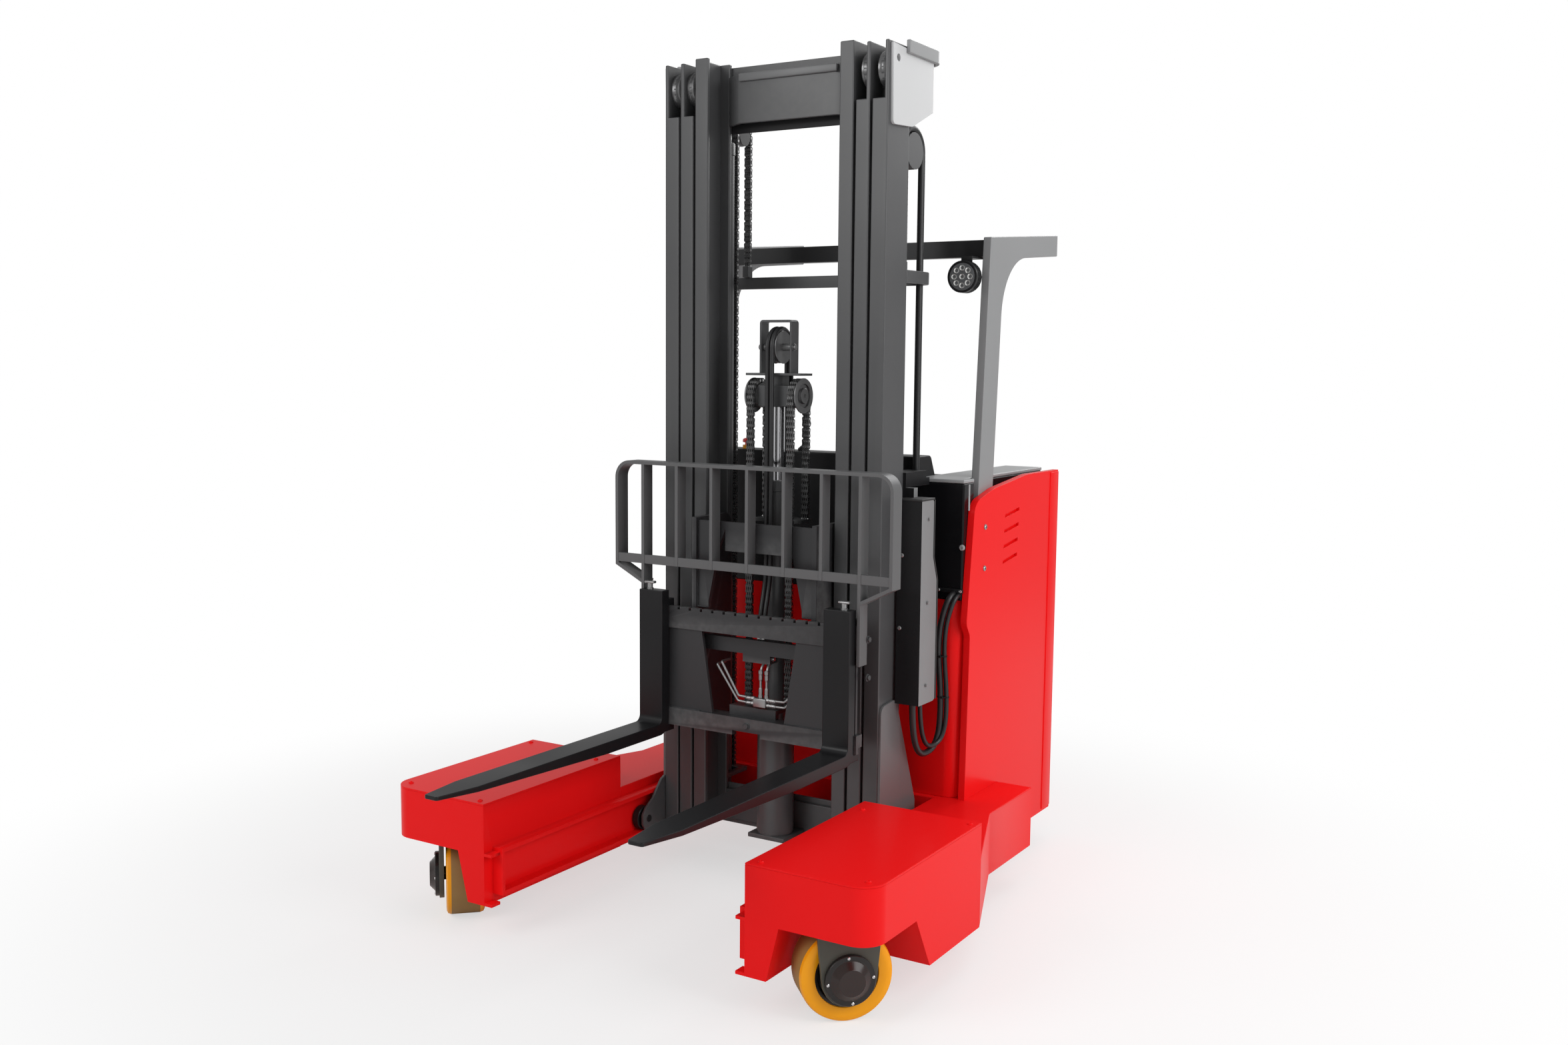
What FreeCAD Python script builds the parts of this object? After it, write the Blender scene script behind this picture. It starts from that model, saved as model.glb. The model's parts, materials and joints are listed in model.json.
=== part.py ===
"""A four-way stand-on reach truck: two straddle legs with steered load wheels,
a triplex mast that reaches forward between them, and a body with a stand-in
compartment behind. Millimetres, +Z up, +X to the truck's near side, forks to -Y.
Places along Y are measured from the front plane of the legs, and save() moves
every piece so that the middle of the whole truck is at Y = 0."""
import FreeCAD, Part
import math
import os

Vector = FreeCAD.Vector
X_AXIS = Vector(1, 0, 0)
Y_AXIS = Vector(0, 1, 0)
Z_AXIS = Vector(0, 0, 1)

SEAT = 0.4               # clearance between pieces of two bodies that bear on each other
CLEAR = 6                # clearance round a piece that moves past another

# Straddle legs
LEG_OUT = 900            # half of the overall width
LEG_IN = 492             # inner face, so the bay between the legs is 984 wide
LEG_LOW = 110            # underside above the floor
LEG_TOP = 435
LEG_END = 697            # where the straight outer side ends
LEG_CORNER_R = 75
COVER_T = 6
ARCH_TOP = 272
ARCH_IN_TOP = 604        # inner edge of the wheel arch at its top
ARCH_IN_LOW = 564        # and at the leg's underside
ARCH_BACK_TOP = 262      # rear edge of the wheel arch at its top
ARCH_BACK_LOW = 352
LUG_T = 10               # jacking lugs at the leg's front inner corner
LUG_OUT = 31
LUG_D = 60

# Rails along the legs that carry the mast
TRACK_TIP = 450          # inner tips of the rail's flanges
TRACK_LOW = 140
TRACK_TOP = 294
TRACK_FLANGE_T = 14
TRACK_WEB_T = 8
TRACK_FRONT = 40
TRACK_STOP_T = 12

# Chassis
BAY_END = 1200           # rear wall of the bay, in front of the body
CHASSIS_OUT = 735        # half width beside the body
CHASSIS_TAPER_END = 1140
CHASSIS_SIDE_END = 1508
CHASSIS_LOW = 110
CHASSIS_TOP = 326
CHASSIS_WALL = 60
CHASSIS_DECK = 30
BASE_LOW = 206
BASE_TOP = 246

# Load wheels
LOAD_WHEEL_R = 135
LOAD_WHEEL_W = 124
LOAD_WHEEL_X = 721
LOAD_WHEEL_Y = 152
TREAD_BEVEL = 10
REST_STEER = 45          # degrees that the wheels stand turned
TURNTABLE_R = 117
TURNTABLE_T = 20
TURNTABLE_TOP = 302.5
LOAD_AXLE_R = 22
BRACKET_W = 186          # at its shoulders, below the arch's top
BRACKET_NECK_W = 150
BRACKET_END_R = 80       # its round lower end, which carries the hub
BRACKET_T = 16
HUB_R = 72
HUB_FLANGE_T = 12
HUB_CAP_R = 55
HUB_CAP_TIP_R = 38
HUB_H = 30

# Body
BODY_OUT = 600
BODY_REAR = 2024
PANEL_T = 24
PANEL_LOW = 100
PANEL_FRONT = 1211
PANEL_TOP = 1432
HOUSING_TOP = 1024
HOUSING_R = 60
HOUSING_T = 6
HOUSING_FRONT = 1222
HOUSING_LAP = 38         # how far the cover reaches past the front of the drive's tower
BATTERY_W = 980
BATTERY_H = 640
HOOD_TOP = 1440
HOOD_END = 2000
LID_T = 12
CONSOLE_TOP = 1512
CONSOLE_RIGHT = 390
CONSOLE_D = 358
LEDGE_D = 120            # top of the console, in front of the steering wheel's tray
LEDGE_DROP = 74
STOP_X = -331
STOP_Y = 1268
STOP_R = 21
STOP_H = 40
LEVER_X = -94
LEVER_H = 100
WHEEL_X = -240
WHEEL_Y = 1460
WHEEL_R = 92
CABINET_LEFT = 40        # inner wall of the closed cabinet beside the operator
CABINET_T = 8
FLOOR_TOP = 286
PAD_Y = 1680
PAD_LOW = 900
PAD_D = 300
PAD_H = 200
PAD_T = 50

# Air slots in the near side panel
SLOT_W = 128
SLOT_H = 12
SLOT_PITCH = 55
SLOT_TOP = 1300
SLOT_Y = 1521
SLOT_RISE = 0.13
SLOTS = 4

# Overhead guard
GUARD_OUT = 575
GUARD_T = 30
GUARD_GAP = 3            # between the post and the covers beside it
POST_FOOT_Y = 1317       # front of the post at its foot, on the battery housing
POST_DEPTH = 120
POST_LEAN = 0.0673       # how far it leans back for each millimetre of height
ROOF_REAR = 2014
ROOF_LOW = 2190          # underside of the roof's side plate at the post
ROOF_RISE = 51
ROOF_SIDE_H = 78
ROOF_GUSSET_R = 230
ROOF_BEAM_D = 44
ROOF_BEAM_H = 58
ROOF_BARS = 7
ROOF_BAR_T = 14
ROOF_BAR_H = 46
LAMP_X = 506
LAMP_Z = 2130
LAMP_R = 54
LAMP_D = 44
LAMP_FRONT = 74          # how far the lamp's face stands in front of the post
STRAP_T = 6
STRAP_W = 40

# Mast
MAST_FRONT = 888
RAIL_DEPTH = 152
RAIL_WEB_T = 13
RAIL_FLANGE_T = 17
RAIL_W = 51
INNER_RAIL_X = 259       # inner tips of each stage's flanges
MID_RAIL_X = 319
OUTER_RAIL_X = 379
OUTER_RAIL_W = 57
RAIL_LOW = 150
STAGE_STEP = 10          # each inner stage stands this much higher at its foot
RAIL_TOP = 2850
TOP_CUT = 178            # front flange left off at the top of two stages
TOP_ROLLER_DROP = 80
FOOT_ROLLER_RISE = 90
TOP_BRACKET_T = 10
TOP_BRACKET_D = 302
TOP_BRACKET_FALL = 14    # how much lower its top edge is at the rear
TOP_BRACKET_REAR_H = 165
TOP_BRACKET_FOOT_D = 134
TOP_BRACKET_FOOT = 260   # from the rails' top down to its foot
EYE_R = 12
EYE_PLACE = 50           # from the mast's front and from its top
TIE_REAR = 1250
TIE_T = 14
TIE_DROP = 752           # from the rails' top down to the tie
TIE_H = 42
UPPER_TIE_RISE = 15      # the upper tie stands this much above the rails
UPPER_TIE_START = 102    # where it begins on the top plates, behind the mast's front
TIE_R = 60
OUTER_FOOT_H = 150
OUTER_FOOT_T = 10
MID_HEAD_H = 170
MID_HEAD_T = 12
INNER_HEAD_DROP = 212    # from the inner rails' top down to their head plate's lower edge
INNER_HEAD_H = 167
INNER_HEAD_T = 12
INNER_HEAD_FLAT = 190
INNER_FOOT_H = 110
INNER_FOOT_T = 12

# Foot of the mast, which rolls along the legs' rails
FOOT_ROLLER_W = 28
FOOT_REAR = 1150
FOOT_AXLE_REAR = 1085
FOOT_BLOCK = 20
GUSSET_T = 10
GUSSET_TOP = 710
GUSSET_W = 108
HOSE_COVER_OUT = 535
HOSE_COVER_FRONT = 985
HOSE_COVER_D = 123
HOSE_COVER_LOW = 697
HOSE_COVER_TOP = 1385
HOSE_COVER_NOTCH = 30    # the cover's rear edge steps in above this height
HOSE_COVER_STEP = 1150

# Carriage, forks and load backrest
FORK_FACE = 714
FORK_IN = 322
FORK_W = 98
FORK_SHANK_T = 42
FORK_BLADE_T = 40
FORK_TOP = 1044
BLADE_TOP = 576
BLADE_TAPER = 300
FORK_TIP = -346
TIP_IN = 24
TIP_LENGTH = 150
HEEL_R = 50
BAR_T = 38
TONGUE_T = 16            # the bars' edges that the fork hooks grip
HOOK_T = 14
HOOK_H = 24
BAR_TOP = 988
BAR_H = 76
LOW_BAR_LOW = 567
LOW_BAR_H = 62
NOTCH_W = 10             # cuts in the upper bar that the forks' latches drop into
NOTCH_H = 10
NOTCH_PITCH = 47
NOTCHES = 13
LOW_NOTCH_W = 114
LOW_NOTCH_H = 15
WINDOW_TOP_HALF = 190
WINDOW_LOW_HALF = 145
WEB_T = 12
SIDE_PLATE_X = 232
SIDE_PLATE_T = 18
SIDE_PLATE_LOW = 560
SIDE_PLATE_TOP = 1300
ROLLER_LOW = 735
ROLLER_HIGH = 1200
YOKE_T = 14
YOKE_LOW = 1190
YOKE_TOP = 1290
VALVE_W = 110
VALVE_H = 34
VALVE_D = 40
VALVE_TOP = 846
VALVE_HOSE_Y = 850       # where the hoses leave the valve block
BEAM_LOW = 840           # the beam behind the window
BEAM_H = 50
BEAM_T = 20
BACKREST_OUT = 552
BACKREST_FRONT = 749
BACKREST_D = 58
BACKREST_T = 12
BACKREST_TOP = 1487
BACKREST_LOW = 1057
BACKREST_R = 60
BACKREST_RAIL_TOP = 1159
BACKREST_RAIL_H = 31
BACKREST_FOOT = 860
BACKREST_BARS = 7
BACKREST_PITCH = 144

# Free-lift cylinder, its head and chains
FREE_Y = 948
FREE_ROD_R = 23
FREE_BARREL_R = 34
FREE_BASE_R = 64
FREE_BASE_TOP = 540
FREE_BARREL_TOP = 1428
FREE_HEAD_LOW = 1684
HEAD_W = 130
HEAD_D = 60
HEAD_H = 70
HEAD_PLATE_Z = 1788
HEAD_PLATE_W = 220
HEAD_PLATE_T = 8
YOKE_W = 128             # inverted U over the hose pulley
YOKE_H = 180
YOKE_D = 48
SHEAVE_Z = 1720
SHEAVE_R = 43
SHEAVE_W = 30
SHEAVE_RIM_R = 57
SHEAVE_RIM_T = 6
PULLEY_R = 54
PULLEY_W = 34
PULLEY_X = 2
PULLEY_Z = 1884
PULLEY_PIN_R = 12
CHAIN_W = 26
CHAIN_T = 16
FREE_CHAIN_LOW = 660
ANCHOR_Z = 1296          # where the chains end on the cylinder
ANCHOR_T = 14
HOSE_R = 8

# Lift cylinders and stage chains behind the mast
LIFT_X = 330
LIFT_Y = 1092
LIFT_BARREL_R = 40
LIFT_ROD_R = 27
LIFT_BARREL_DROP = 250   # from the rails' top, as are the next two
LIFT_CHAIN_X = 318
LIFT_CHAIN_Y = 1152      # front strand
LIFT_PULLEY_R = 34
LIFT_PULLEY_DROP = 210
LIFT_ANCHOR_Z = 330
LIFT_ANCHOR_H = 16
MAST_HOSE_X = 400
MAST_HOSE_R = 12
MAST_HOSE_Y = 1057       # front strand
MAST_HOSE_DROP = 315
MAST_HOSE_BEND = 74
MAST_HOSE_LOW = 1470
CLAMP_H = 50
LOOP_HOSE_R = 11
LOOP_HOSE_THIN_R = 8
DRUM_SIDES = 20          # rollers, pulleys and covers are many-sided, to keep the facets few
PIN_SIDES = 8
TYRE_SIDES = 36

# Drive unit and castor
DRIVE_X = 320
DRIVE_SETBACK = 234      # the drive's axis in front of the body's rear
DRIVE_WHEEL_R = 172
DRIVE_WHEEL_W = 130
DRIVE_WELL_R = 210
DRIVE_WELL_T = 8
DRIVE_MOUNT_TOP = 430
DRIVE_MOUNT_R = 150
DRIVE_MOUNT_T = 30
DRIVE_MOTOR_R = 110
DRIVE_MOTOR_H = 300
DRIVE_STUB_R = 30
GEAR_T = 50
CASTOR_X = -330
CASTOR_BEHIND = 10       # behind the drive wheel's axis
CASTOR_R = 75
CASTOR_W = 64
CASTOR_TRAIL = 35
CASTOR_PLATE_R = 60
CASTOR_PLATE_LOW = 178
CASTOR_AXLE_R = 10
CASTOR_CHEEK_T = 8

ROLLER_R = RAIL_DEPTH / 2 - RAIL_FLANGE_T - SEAT
MAST_REAR = MAST_FRONT + RAIL_DEPTH
GUSSET_X = OUTER_RAIL_X + OUTER_RAIL_W
TRACK_BED = TRACK_LOW + TRACK_FLANGE_T
FOOT_ROLLER_R = (TRACK_TOP - TRACK_FLANGE_T - TRACK_BED) / 2 - CLEAR
BAR_FRONT = FORK_FACE + FORK_SHANK_T + SEAT
BAR_REAR = BAR_FRONT + BAR_T
BACKREST_LEG_X = BACKREST_PITCH * (BACKREST_BARS - 1) / 2
CARRIAGE_OUT = BACKREST_LEG_X - BACKREST_T / 2
BODY_IN = BODY_OUT - PANEL_T - 1
PANEL_FOOT = CHASSIS_TOP
CONSOLE_END = HOUSING_FRONT + CONSOLE_D
DRIVE_Y = BODY_REAR - DRIVE_SETBACK
CASTOR_Y = DRIVE_Y + CASTOR_BEHIND
DRIVE_TOWER_FRONT = DRIVE_Y - DRIVE_WELL_R - DRIVE_WELL_T
HOUSING_END = DRIVE_TOWER_FRONT + HOUSING_LAP
INNER_TOP = RAIL_TOP + STAGE_STEP
TIE_LOW = RAIL_TOP - TIE_DROP
INNER_HEAD_LOW = INNER_TOP - INNER_HEAD_DROP
LIFT_BARREL_TOP = RAIL_TOP - LIFT_BARREL_DROP
LIFT_PULLEY_Z = RAIL_TOP - LIFT_PULLEY_DROP
MAST_HOSE_TOP = RAIL_TOP - MAST_HOSE_DROP
FREE_CHAIN_X = (HEAD_W + SHEAVE_W) / 2 + SEAT
LIFT_CHAIN_REAR = LIFT_CHAIN_Y + 2 * LIFT_PULLEY_R + CHAIN_T
ORIGIN_Y = (FORK_TIP + BODY_REAR) / 2


def box(x0, x1, y0, y1, z0, z1):
    return Part.makeBox(x1 - x0, y1 - y0, z1 - z0, Vector(x0, y0, z0))


def cylinder(radius, start, length, axis):
    return Part.makeCylinder(radius, length, start, axis)


def drum_ring(radius, centre, axis, sides):
    ring = [Vector(radius * math.cos(turn), radius * math.sin(turn), 0)
            for turn in (2 * math.pi * k / sides for k in range(sides + 1))]
    place = FreeCAD.Placement(centre, FreeCAD.Rotation(Z_AXIS, axis))
    return Part.makePolygon([place.multVec(corner) for corner in ring])


def drum(radius, start, length, axis, sides=DRUM_SIDES):
    """A many-sided drum for rollers, caps and covers, with far fewer facets than a round one."""
    return Part.Face(drum_ring(radius, start, axis, sides)).extrude(axis * length)


def outline(points):
    """A closed wire through (a, b, corner radius) points, lying in the XY plane."""
    count = len(points)
    edges = []
    ends = []
    for i, (a, b, radius) in enumerate(points):
        corner = Vector(a, b, 0)
        before = Vector(*points[i - 1][:2], 0) - corner
        after = Vector(*points[(i + 1) % count][:2], 0) - corner
        before.normalize()
        after.normalize()
        if radius == 0:
            ends.append((corner, corner))
            continue
        half_angle = before.getAngle(after) / 2
        setback = radius / math.tan(half_angle)
        middle = before + after
        middle.normalize()
        start = corner + before * setback
        finish = corner + after * setback
        centre = corner + middle * (radius / math.sin(half_angle))
        edges.append(Part.Arc(start, centre - middle * radius, finish).toShape())
        ends.append((start, finish))
    for i in range(count):
        start = ends[i - 1][1]
        finish = ends[i][0]
        if start.distanceToPoint(finish) > 1e-6:
            edges.append(Part.makeLine(start, finish))
    return Part.Wire(Part.__sortEdges__(edges))


def plan(points, z0, z1):
    """A plate whose (x, y, radius) outline is seen from above."""
    face = Part.Face(outline(points))
    face.translate(Vector(0, 0, z0))
    return face.extrude(Vector(0, 0, z1 - z0))


def side(points, x0, x1):
    """A plate whose (y, z, radius) outline is seen from the side."""
    face = Part.Face(outline(points))
    face.rotate(Vector(0, 0, 0), Vector(1, 1, 1), 120)
    face.translate(Vector(x0, 0, 0))
    return face.extrude(Vector(x1 - x0, 0, 0))


def front(points, y0, y1):
    """A plate whose (x, z, radius) outline is seen from the front."""
    face = Part.Face(outline(points))
    face.rotate(Vector(0, 0, 0), X_AXIS, 90)
    face.translate(Vector(0, y0, 0))
    return face.extrude(Vector(0, y1 - y0, 0))


def bent_bar(points, thickness):
    """The outline of a flat bar bent along (a, b, radius) points of its outer side,
    with its thickness on the right of the way it runs."""
    inner = []
    for i, (a, b, radius) in enumerate(points):
        here = Vector(a, b, 0)
        ways = []
        if i > 0:
            ways.append(here - Vector(*points[i - 1][:2], 0))
        if i < len(points) - 1:
            ways.append(Vector(*points[i + 1][:2], 0) - here)
        normals = []
        for way in ways:
            way.normalize()
            normals.append(Vector(way.y, -way.x, 0))
        middle = normals[0] + normals[-1]
        middle.normalize()
        inward = here + middle * (thickness / middle.dot(normals[0]))
        turn_right = len(normals) == 2 and normals[0].cross(normals[1]).z < 0
        inner_radius = 0
        if radius:
            inner_radius = radius - thickness if turn_right else radius + thickness
        inner.append((inward.x, inward.y, inner_radius))
    return points + inner[::-1]


def fuse(shapes):
    whole = shapes[0]
    if len(shapes) > 1:
        whole = whole.fuse(shapes[1:])
    return whole.removeSplitter()


def mirrored(shape):
    return shape.mirror(Vector(0, 0, 0), X_AXIS)


def both_sides(shape):
    return [shape, mirrored(shape)]


def save(node, shape):
    placed = shape.copy()
    placed.translate(Vector(0, -ORIGIN_Y, 0))
    placed.exportStep("parts/" + node + ".step")


def save_pair(node, shape):
    """The near side's piece as modelled, and its mirror image for the far side."""
    save(node + "_right", shape)
    save(node + "_left", mirrored(shape))


def leg_plan():
    """The leg's outline from above, with its straight outer side."""
    return [(LEG_IN, 0, 0), (LEG_OUT, 0, LEG_CORNER_R), (LEG_OUT, LEG_END, 0), (LEG_IN, LEG_END, 0)]


def leg():
    """The boxed leg, hollowed for its wheel, with the rail and the lugs on its inner side."""
    solid = plan(leg_plan(), LEG_LOW, LEG_TOP)
    past = LEG_OUT + CLEAR
    below = LEG_LOW - CLEAR
    lengthwise = side([(-CLEAR, below, 0), (-CLEAR, ARCH_TOP, 0), (ARCH_BACK_TOP, ARCH_TOP, 0),
                       (ARCH_BACK_LOW, LEG_LOW, 0), (ARCH_BACK_LOW, below, 0)], LEG_IN, past)
    crosswise = front([(ARCH_IN_LOW, below, 0), (ARCH_IN_LOW, LEG_LOW, 0), (ARCH_IN_TOP, ARCH_TOP, 0),
                       (past, ARCH_TOP, 0), (past, below, 0)], -CLEAR, LEG_END)
    solid = solid.cut(lengthwise.common(crosswise))
    well_top = TURNTABLE_TOP + SEAT
    solid = solid.cut(cylinder(TURNTABLE_R + CLEAR, Vector(LOAD_WHEEL_X, LOAD_WHEEL_Y, LEG_LOW),
                               well_top - LEG_LOW, Z_AXIS))
    web = LEG_IN - TRACK_WEB_T
    upper = TRACK_TOP - TRACK_FLANGE_T
    rails = [box(web, LEG_IN, TRACK_FRONT, BAY_END, TRACK_LOW, TRACK_TOP),
             box(TRACK_TIP, web, TRACK_FRONT, BAY_END, TRACK_LOW, TRACK_BED),
             box(TRACK_TIP, web, TRACK_FRONT, BAY_END, upper, TRACK_TOP),
             box(TRACK_TIP, web, TRACK_FRONT, TRACK_FRONT + TRACK_STOP_T, TRACK_LOW, TRACK_TOP)]
    lugs = [box(LEG_IN - LUG_OUT, LEG_IN, 0, LUG_D, z, z + LUG_T)
            for z in (LEG_LOW, ARCH_TOP)]
    lugs = [lug.cut(box(TRACK_TIP, LEG_IN, TRACK_FRONT, LUG_D, LEG_LOW, LEG_TOP)) for lug in lugs]
    return fuse([solid] + rails + lugs)


def leg_cover():
    return plan(leg_plan(), LEG_TOP, LEG_TOP + COVER_T)


def chassis_frame():
    """Side beams, the cross box under the battery, the base plate and the drive unit's well."""
    beam = plan([(LEG_IN, LEG_END, 0), (LEG_OUT, LEG_END, 0), (CHASSIS_OUT, CHASSIS_TAPER_END, 0),
                 (CHASSIS_OUT, CHASSIS_SIDE_END, 0), (LEG_IN, CHASSIS_SIDE_END, 0)],
                CHASSIS_LOW, CHASSIS_TOP)
    base = box(-BODY_IN, BODY_IN, BAY_END, BODY_REAR - CABINET_T, BASE_LOW, BASE_TOP)
    cross = box(-LEG_IN, LEG_IN, BAY_END, CHASSIS_SIDE_END, CHASSIS_LOW, CHASSIS_TOP)
    hollow = LEG_IN - CHASSIS_WALL
    cross = cross.cut(box(-hollow, hollow, BAY_END + CHASSIS_WALL, CHASSIS_SIDE_END, CHASSIS_LOW,
                          CHASSIS_TOP - CHASSIS_DECK))
    frame = fuse([beam, mirrored(beam), cross, base])
    place = Vector(DRIVE_X, DRIVE_Y, 0)
    frame = frame.cut(cylinder(DRIVE_WELL_R, place, CHASSIS_TOP + CLEAR, Z_AXIS))
    roof = DRIVE_MOUNT_TOP + SEAT
    place.z = BASE_LOW
    tower = cylinder(DRIVE_WELL_R + DRIVE_WELL_T, place, roof + 2 * DRIVE_WELL_T - BASE_LOW, Z_AXIS)
    tower = tower.cut(cylinder(DRIVE_WELL_R, place, roof - BASE_LOW, Z_AXIS))
    tower = tower.cut(cylinder(DRIVE_MOTOR_R + DRIVE_WELL_T, place, DRIVE_MOTOR_H, Z_AXIS))
    return fuse([frame, tower])


def battery_housing():
    """A deep-drawn cover with two round front corners, open behind and below."""
    def shape(wall, end, z0, z1):
        x = BODY_IN - wall
        y = HOUSING_FRONT + wall
        r = HOUSING_R - wall
        return plan([(-x, y, r), (x, y, r), (x, end, 0), (-x, end, 0)], z0, z1)
    shell = shape(0, HOUSING_END, CHASSIS_TOP, HOUSING_TOP)
    return shell.cut(shape(HOUSING_T, HOUSING_END + 1, CHASSIS_TOP - 1, HOUSING_TOP - HOUSING_T))


def battery():
    y0 = HOUSING_FRONT + HOUSING_T + 4
    y1 = DRIVE_TOWER_FRONT - 10
    return box(-BATTERY_W / 2, BATTERY_W / 2, y0, y1, CHASSIS_TOP, CHASSIS_TOP + BATTERY_H)


def hood_plan():
    """The electrics box from above: it narrows to leave room for the guard's post."""
    step_x = GUARD_OUT - GUARD_T - GUARD_GAP
    step_y = POST_FOOT_Y - 4 * GUARD_GAP
    return [(CONSOLE_RIGHT, HOUSING_FRONT, 0), (BODY_IN, HOUSING_FRONT, 0), (BODY_IN, step_y, 0),
            (step_x, step_y, 0), (step_x, HOOD_END, 0), (CONSOLE_RIGHT, HOOD_END, 0)]


def hood():
    return plan(hood_plan(), HOUSING_TOP, HOOD_TOP - LID_T)


def hood_lid():
    return plan(hood_plan(), HOOD_TOP - LID_T, HOOD_TOP)


def console():
    """The console across the front, with a lower tray for the steering wheel behind its ledge."""
    tray = CONSOLE_TOP - LEDGE_DROP
    ledge = HOUSING_FRONT + LEDGE_D
    body = side([(HOUSING_FRONT, HOUSING_TOP, 0), (HOUSING_FRONT, CONSOLE_TOP, 0), (ledge, CONSOLE_TOP, 20),
                 (ledge + LEDGE_DROP / 2, tray, 0), (CONSOLE_END, tray - 10, 30),
                 (CONSOLE_END - 40, HOUSING_TOP, 0)], -BODY_IN, CONSOLE_RIGHT)
    post_room = box(-BODY_IN, GUARD_T + GUARD_GAP - GUARD_OUT, POST_FOOT_Y - 4 * GUARD_GAP, CONSOLE_END,
                    HOUSING_TOP, CONSOLE_TOP)
    return body.cut(post_room)


def controls():
    """The emergency stop, the mast lever and the steering wheel on the console."""
    top = CONSOLE_TOP
    stop = drum(STOP_R, Vector(STOP_X, STOP_Y, top), STOP_H, Z_AXIS)
    lever = front([(LEVER_X - 12, top, 0), (LEVER_X - 4, top + 16, 0), (LEVER_X + 12, top + LEVER_H, 0),
                   (LEVER_X + 28, top + LEVER_H, 0), (LEVER_X + 8, top + 12, 0), (LEVER_X + 12, top, 0)],
                  STOP_Y - 7, STOP_Y + 7)
    tray = top - LEDGE_DROP - 10
    stem = box(WHEEL_X - 24, WHEEL_X + 24, WHEEL_Y - 24, WHEEL_Y + 24, tray, top - LEDGE_DROP + 24)
    disc = drum(WHEEL_R, Vector(WHEEL_X, WHEEL_Y, top - LEDGE_DROP + 20), 18, Z_AXIS)
    return Part.makeCompound([stop, lever, fuse([stem, disc]).cut(console())])


def side_panel(slots):
    """The pressed side panel: a jog in its front edge, a long curved top, air slots on one side."""
    jog_y = PANEL_FRONT + 30
    points = [(PANEL_FRONT + 13, PANEL_FOOT, 0), (jog_y, 905, 40), (PANEL_FRONT, 945, 40),
              (PANEL_FRONT + 50, 1362, 60), (1420, 1400, 300), (1720, PANEL_TOP, 400),
              (BODY_REAR, PANEL_TOP, 0), (BODY_REAR, PANEL_LOW, 0),
              (CHASSIS_SIDE_END + 1, PANEL_LOW, 0), (CHASSIS_SIDE_END + 1, PANEL_FOOT, 0)]
    panel = side(points, BODY_OUT - PANEL_T, BODY_OUT)
    for i in range(slots):
        y = SLOT_Y - i * 4
        z = SLOT_TOP - i * SLOT_PITCH
        rise = SLOT_RISE * SLOT_W
        slot = side([(y, z - SLOT_H, 0), (y, z, 0), (y + SLOT_W, z + rise, 0),
                     (y + SLOT_W, z + rise - SLOT_H, 0)], BODY_OUT - PANEL_T / 2, BODY_OUT)
        panel = panel.cut(slot)
    return panel


def rear_cabinet():
    y0 = HOUSING_END + 1
    back = BODY_REAR - CABINET_T / 2
    shell = box(CABINET_LEFT, BODY_IN, y0, back, BASE_TOP, HOUSING_TOP)
    inner = box(CABINET_LEFT + CABINET_T, BODY_IN - CABINET_T / 2, y0, back - CABINET_T, BASE_TOP,
                HOUSING_TOP - CABINET_T)
    return shell.cut(inner)


def operator_floor():
    y1 = BODY_REAR - CABINET_T - 2
    return box(-BODY_IN, CABINET_LEFT - 1, HOUSING_END, y1, BASE_TOP, FLOOR_TOP)


def lean_pad():
    c = PAD_T / 2
    y0, y1 = PAD_Y, PAD_Y + PAD_D
    z0, z1 = PAD_LOW, PAD_LOW + PAD_H
    return side([(y0, z0 + c, 0), (y0, z1 - c, 0), (y0 + c, z1, 0), (y1 - c, z1, 0), (y1, z1 - c, 0),
                 (y1, z0 + c, 0), (y1 - c, z0, 0), (y0 + c, z0, 0)], CABINET_LEFT - PAD_T, CABINET_LEFT)


def post_y(z):
    return POST_FOOT_Y + POST_LEAN * (z - HOUSING_TOP)


def guard_side():
    """One post and the side plate of the roof, cut as one, with a round corner between them."""
    z = ROOF_LOW
    top = z + ROOF_SIDE_H
    points = [(post_y(HOUSING_TOP), HOUSING_TOP, 0), (post_y(top), top, 0), (ROOF_REAR, top + ROOF_RISE, 0),
              (ROOF_REAR, z + ROOF_RISE, 0), (post_y(z) + POST_DEPTH, z + 10, ROOF_GUSSET_R),
              (post_y(HOUSING_TOP) + POST_DEPTH, HOUSING_TOP, 0)]
    return side(points, GUARD_OUT - GUARD_T, GUARD_OUT)


def roof_front():
    return post_y(ROOF_LOW) + 16


def guard_bars():
    """The roof's front beam and the bars behind it, welded between the side plates."""
    inside = GUARD_OUT - GUARD_T
    start = roof_front()
    slope = ROOF_RISE / (ROOF_REAR - start)
    z = ROOF_LOW + 12
    pieces = [box(-inside, inside, start, start + ROOF_BEAM_D, z, z + ROOF_BEAM_H)]
    pitch = (ROOF_REAR - GUARD_T - start) / ROOF_BARS
    for i in range(1, ROOF_BARS + 1):
        y = start + i * pitch
        z = ROOF_LOW + 18 + slope * (y - start)
        pieces.append(box(-inside, inside, y, y + ROOF_BAR_T, z, z + ROOF_BAR_H))
    return Part.makeCompound(pieces)


def work_lamp():
    """The round lamp under the roof's front beam, on its bent strap."""
    y = post_y(LAMP_Z) - LAMP_FRONT
    lamp = drum(LAMP_R, Vector(LAMP_X, y, LAMP_Z), LAMP_D, Y_AXIS)
    seat = ROOF_LOW + 12 - SEAT
    low = LAMP_Z + LAMP_R - STRAP_T
    y += LAMP_D - 2 * STRAP_T
    end = roof_front() + ROOF_BEAM_D - STRAP_T
    strap = side(bent_bar([(y, low, 0), (y, seat, 0), (end, seat, 0)], STRAP_T),
                 LAMP_X - STRAP_W / 2, LAMP_X + STRAP_W / 2)
    return fuse([lamp, strap])


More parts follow.
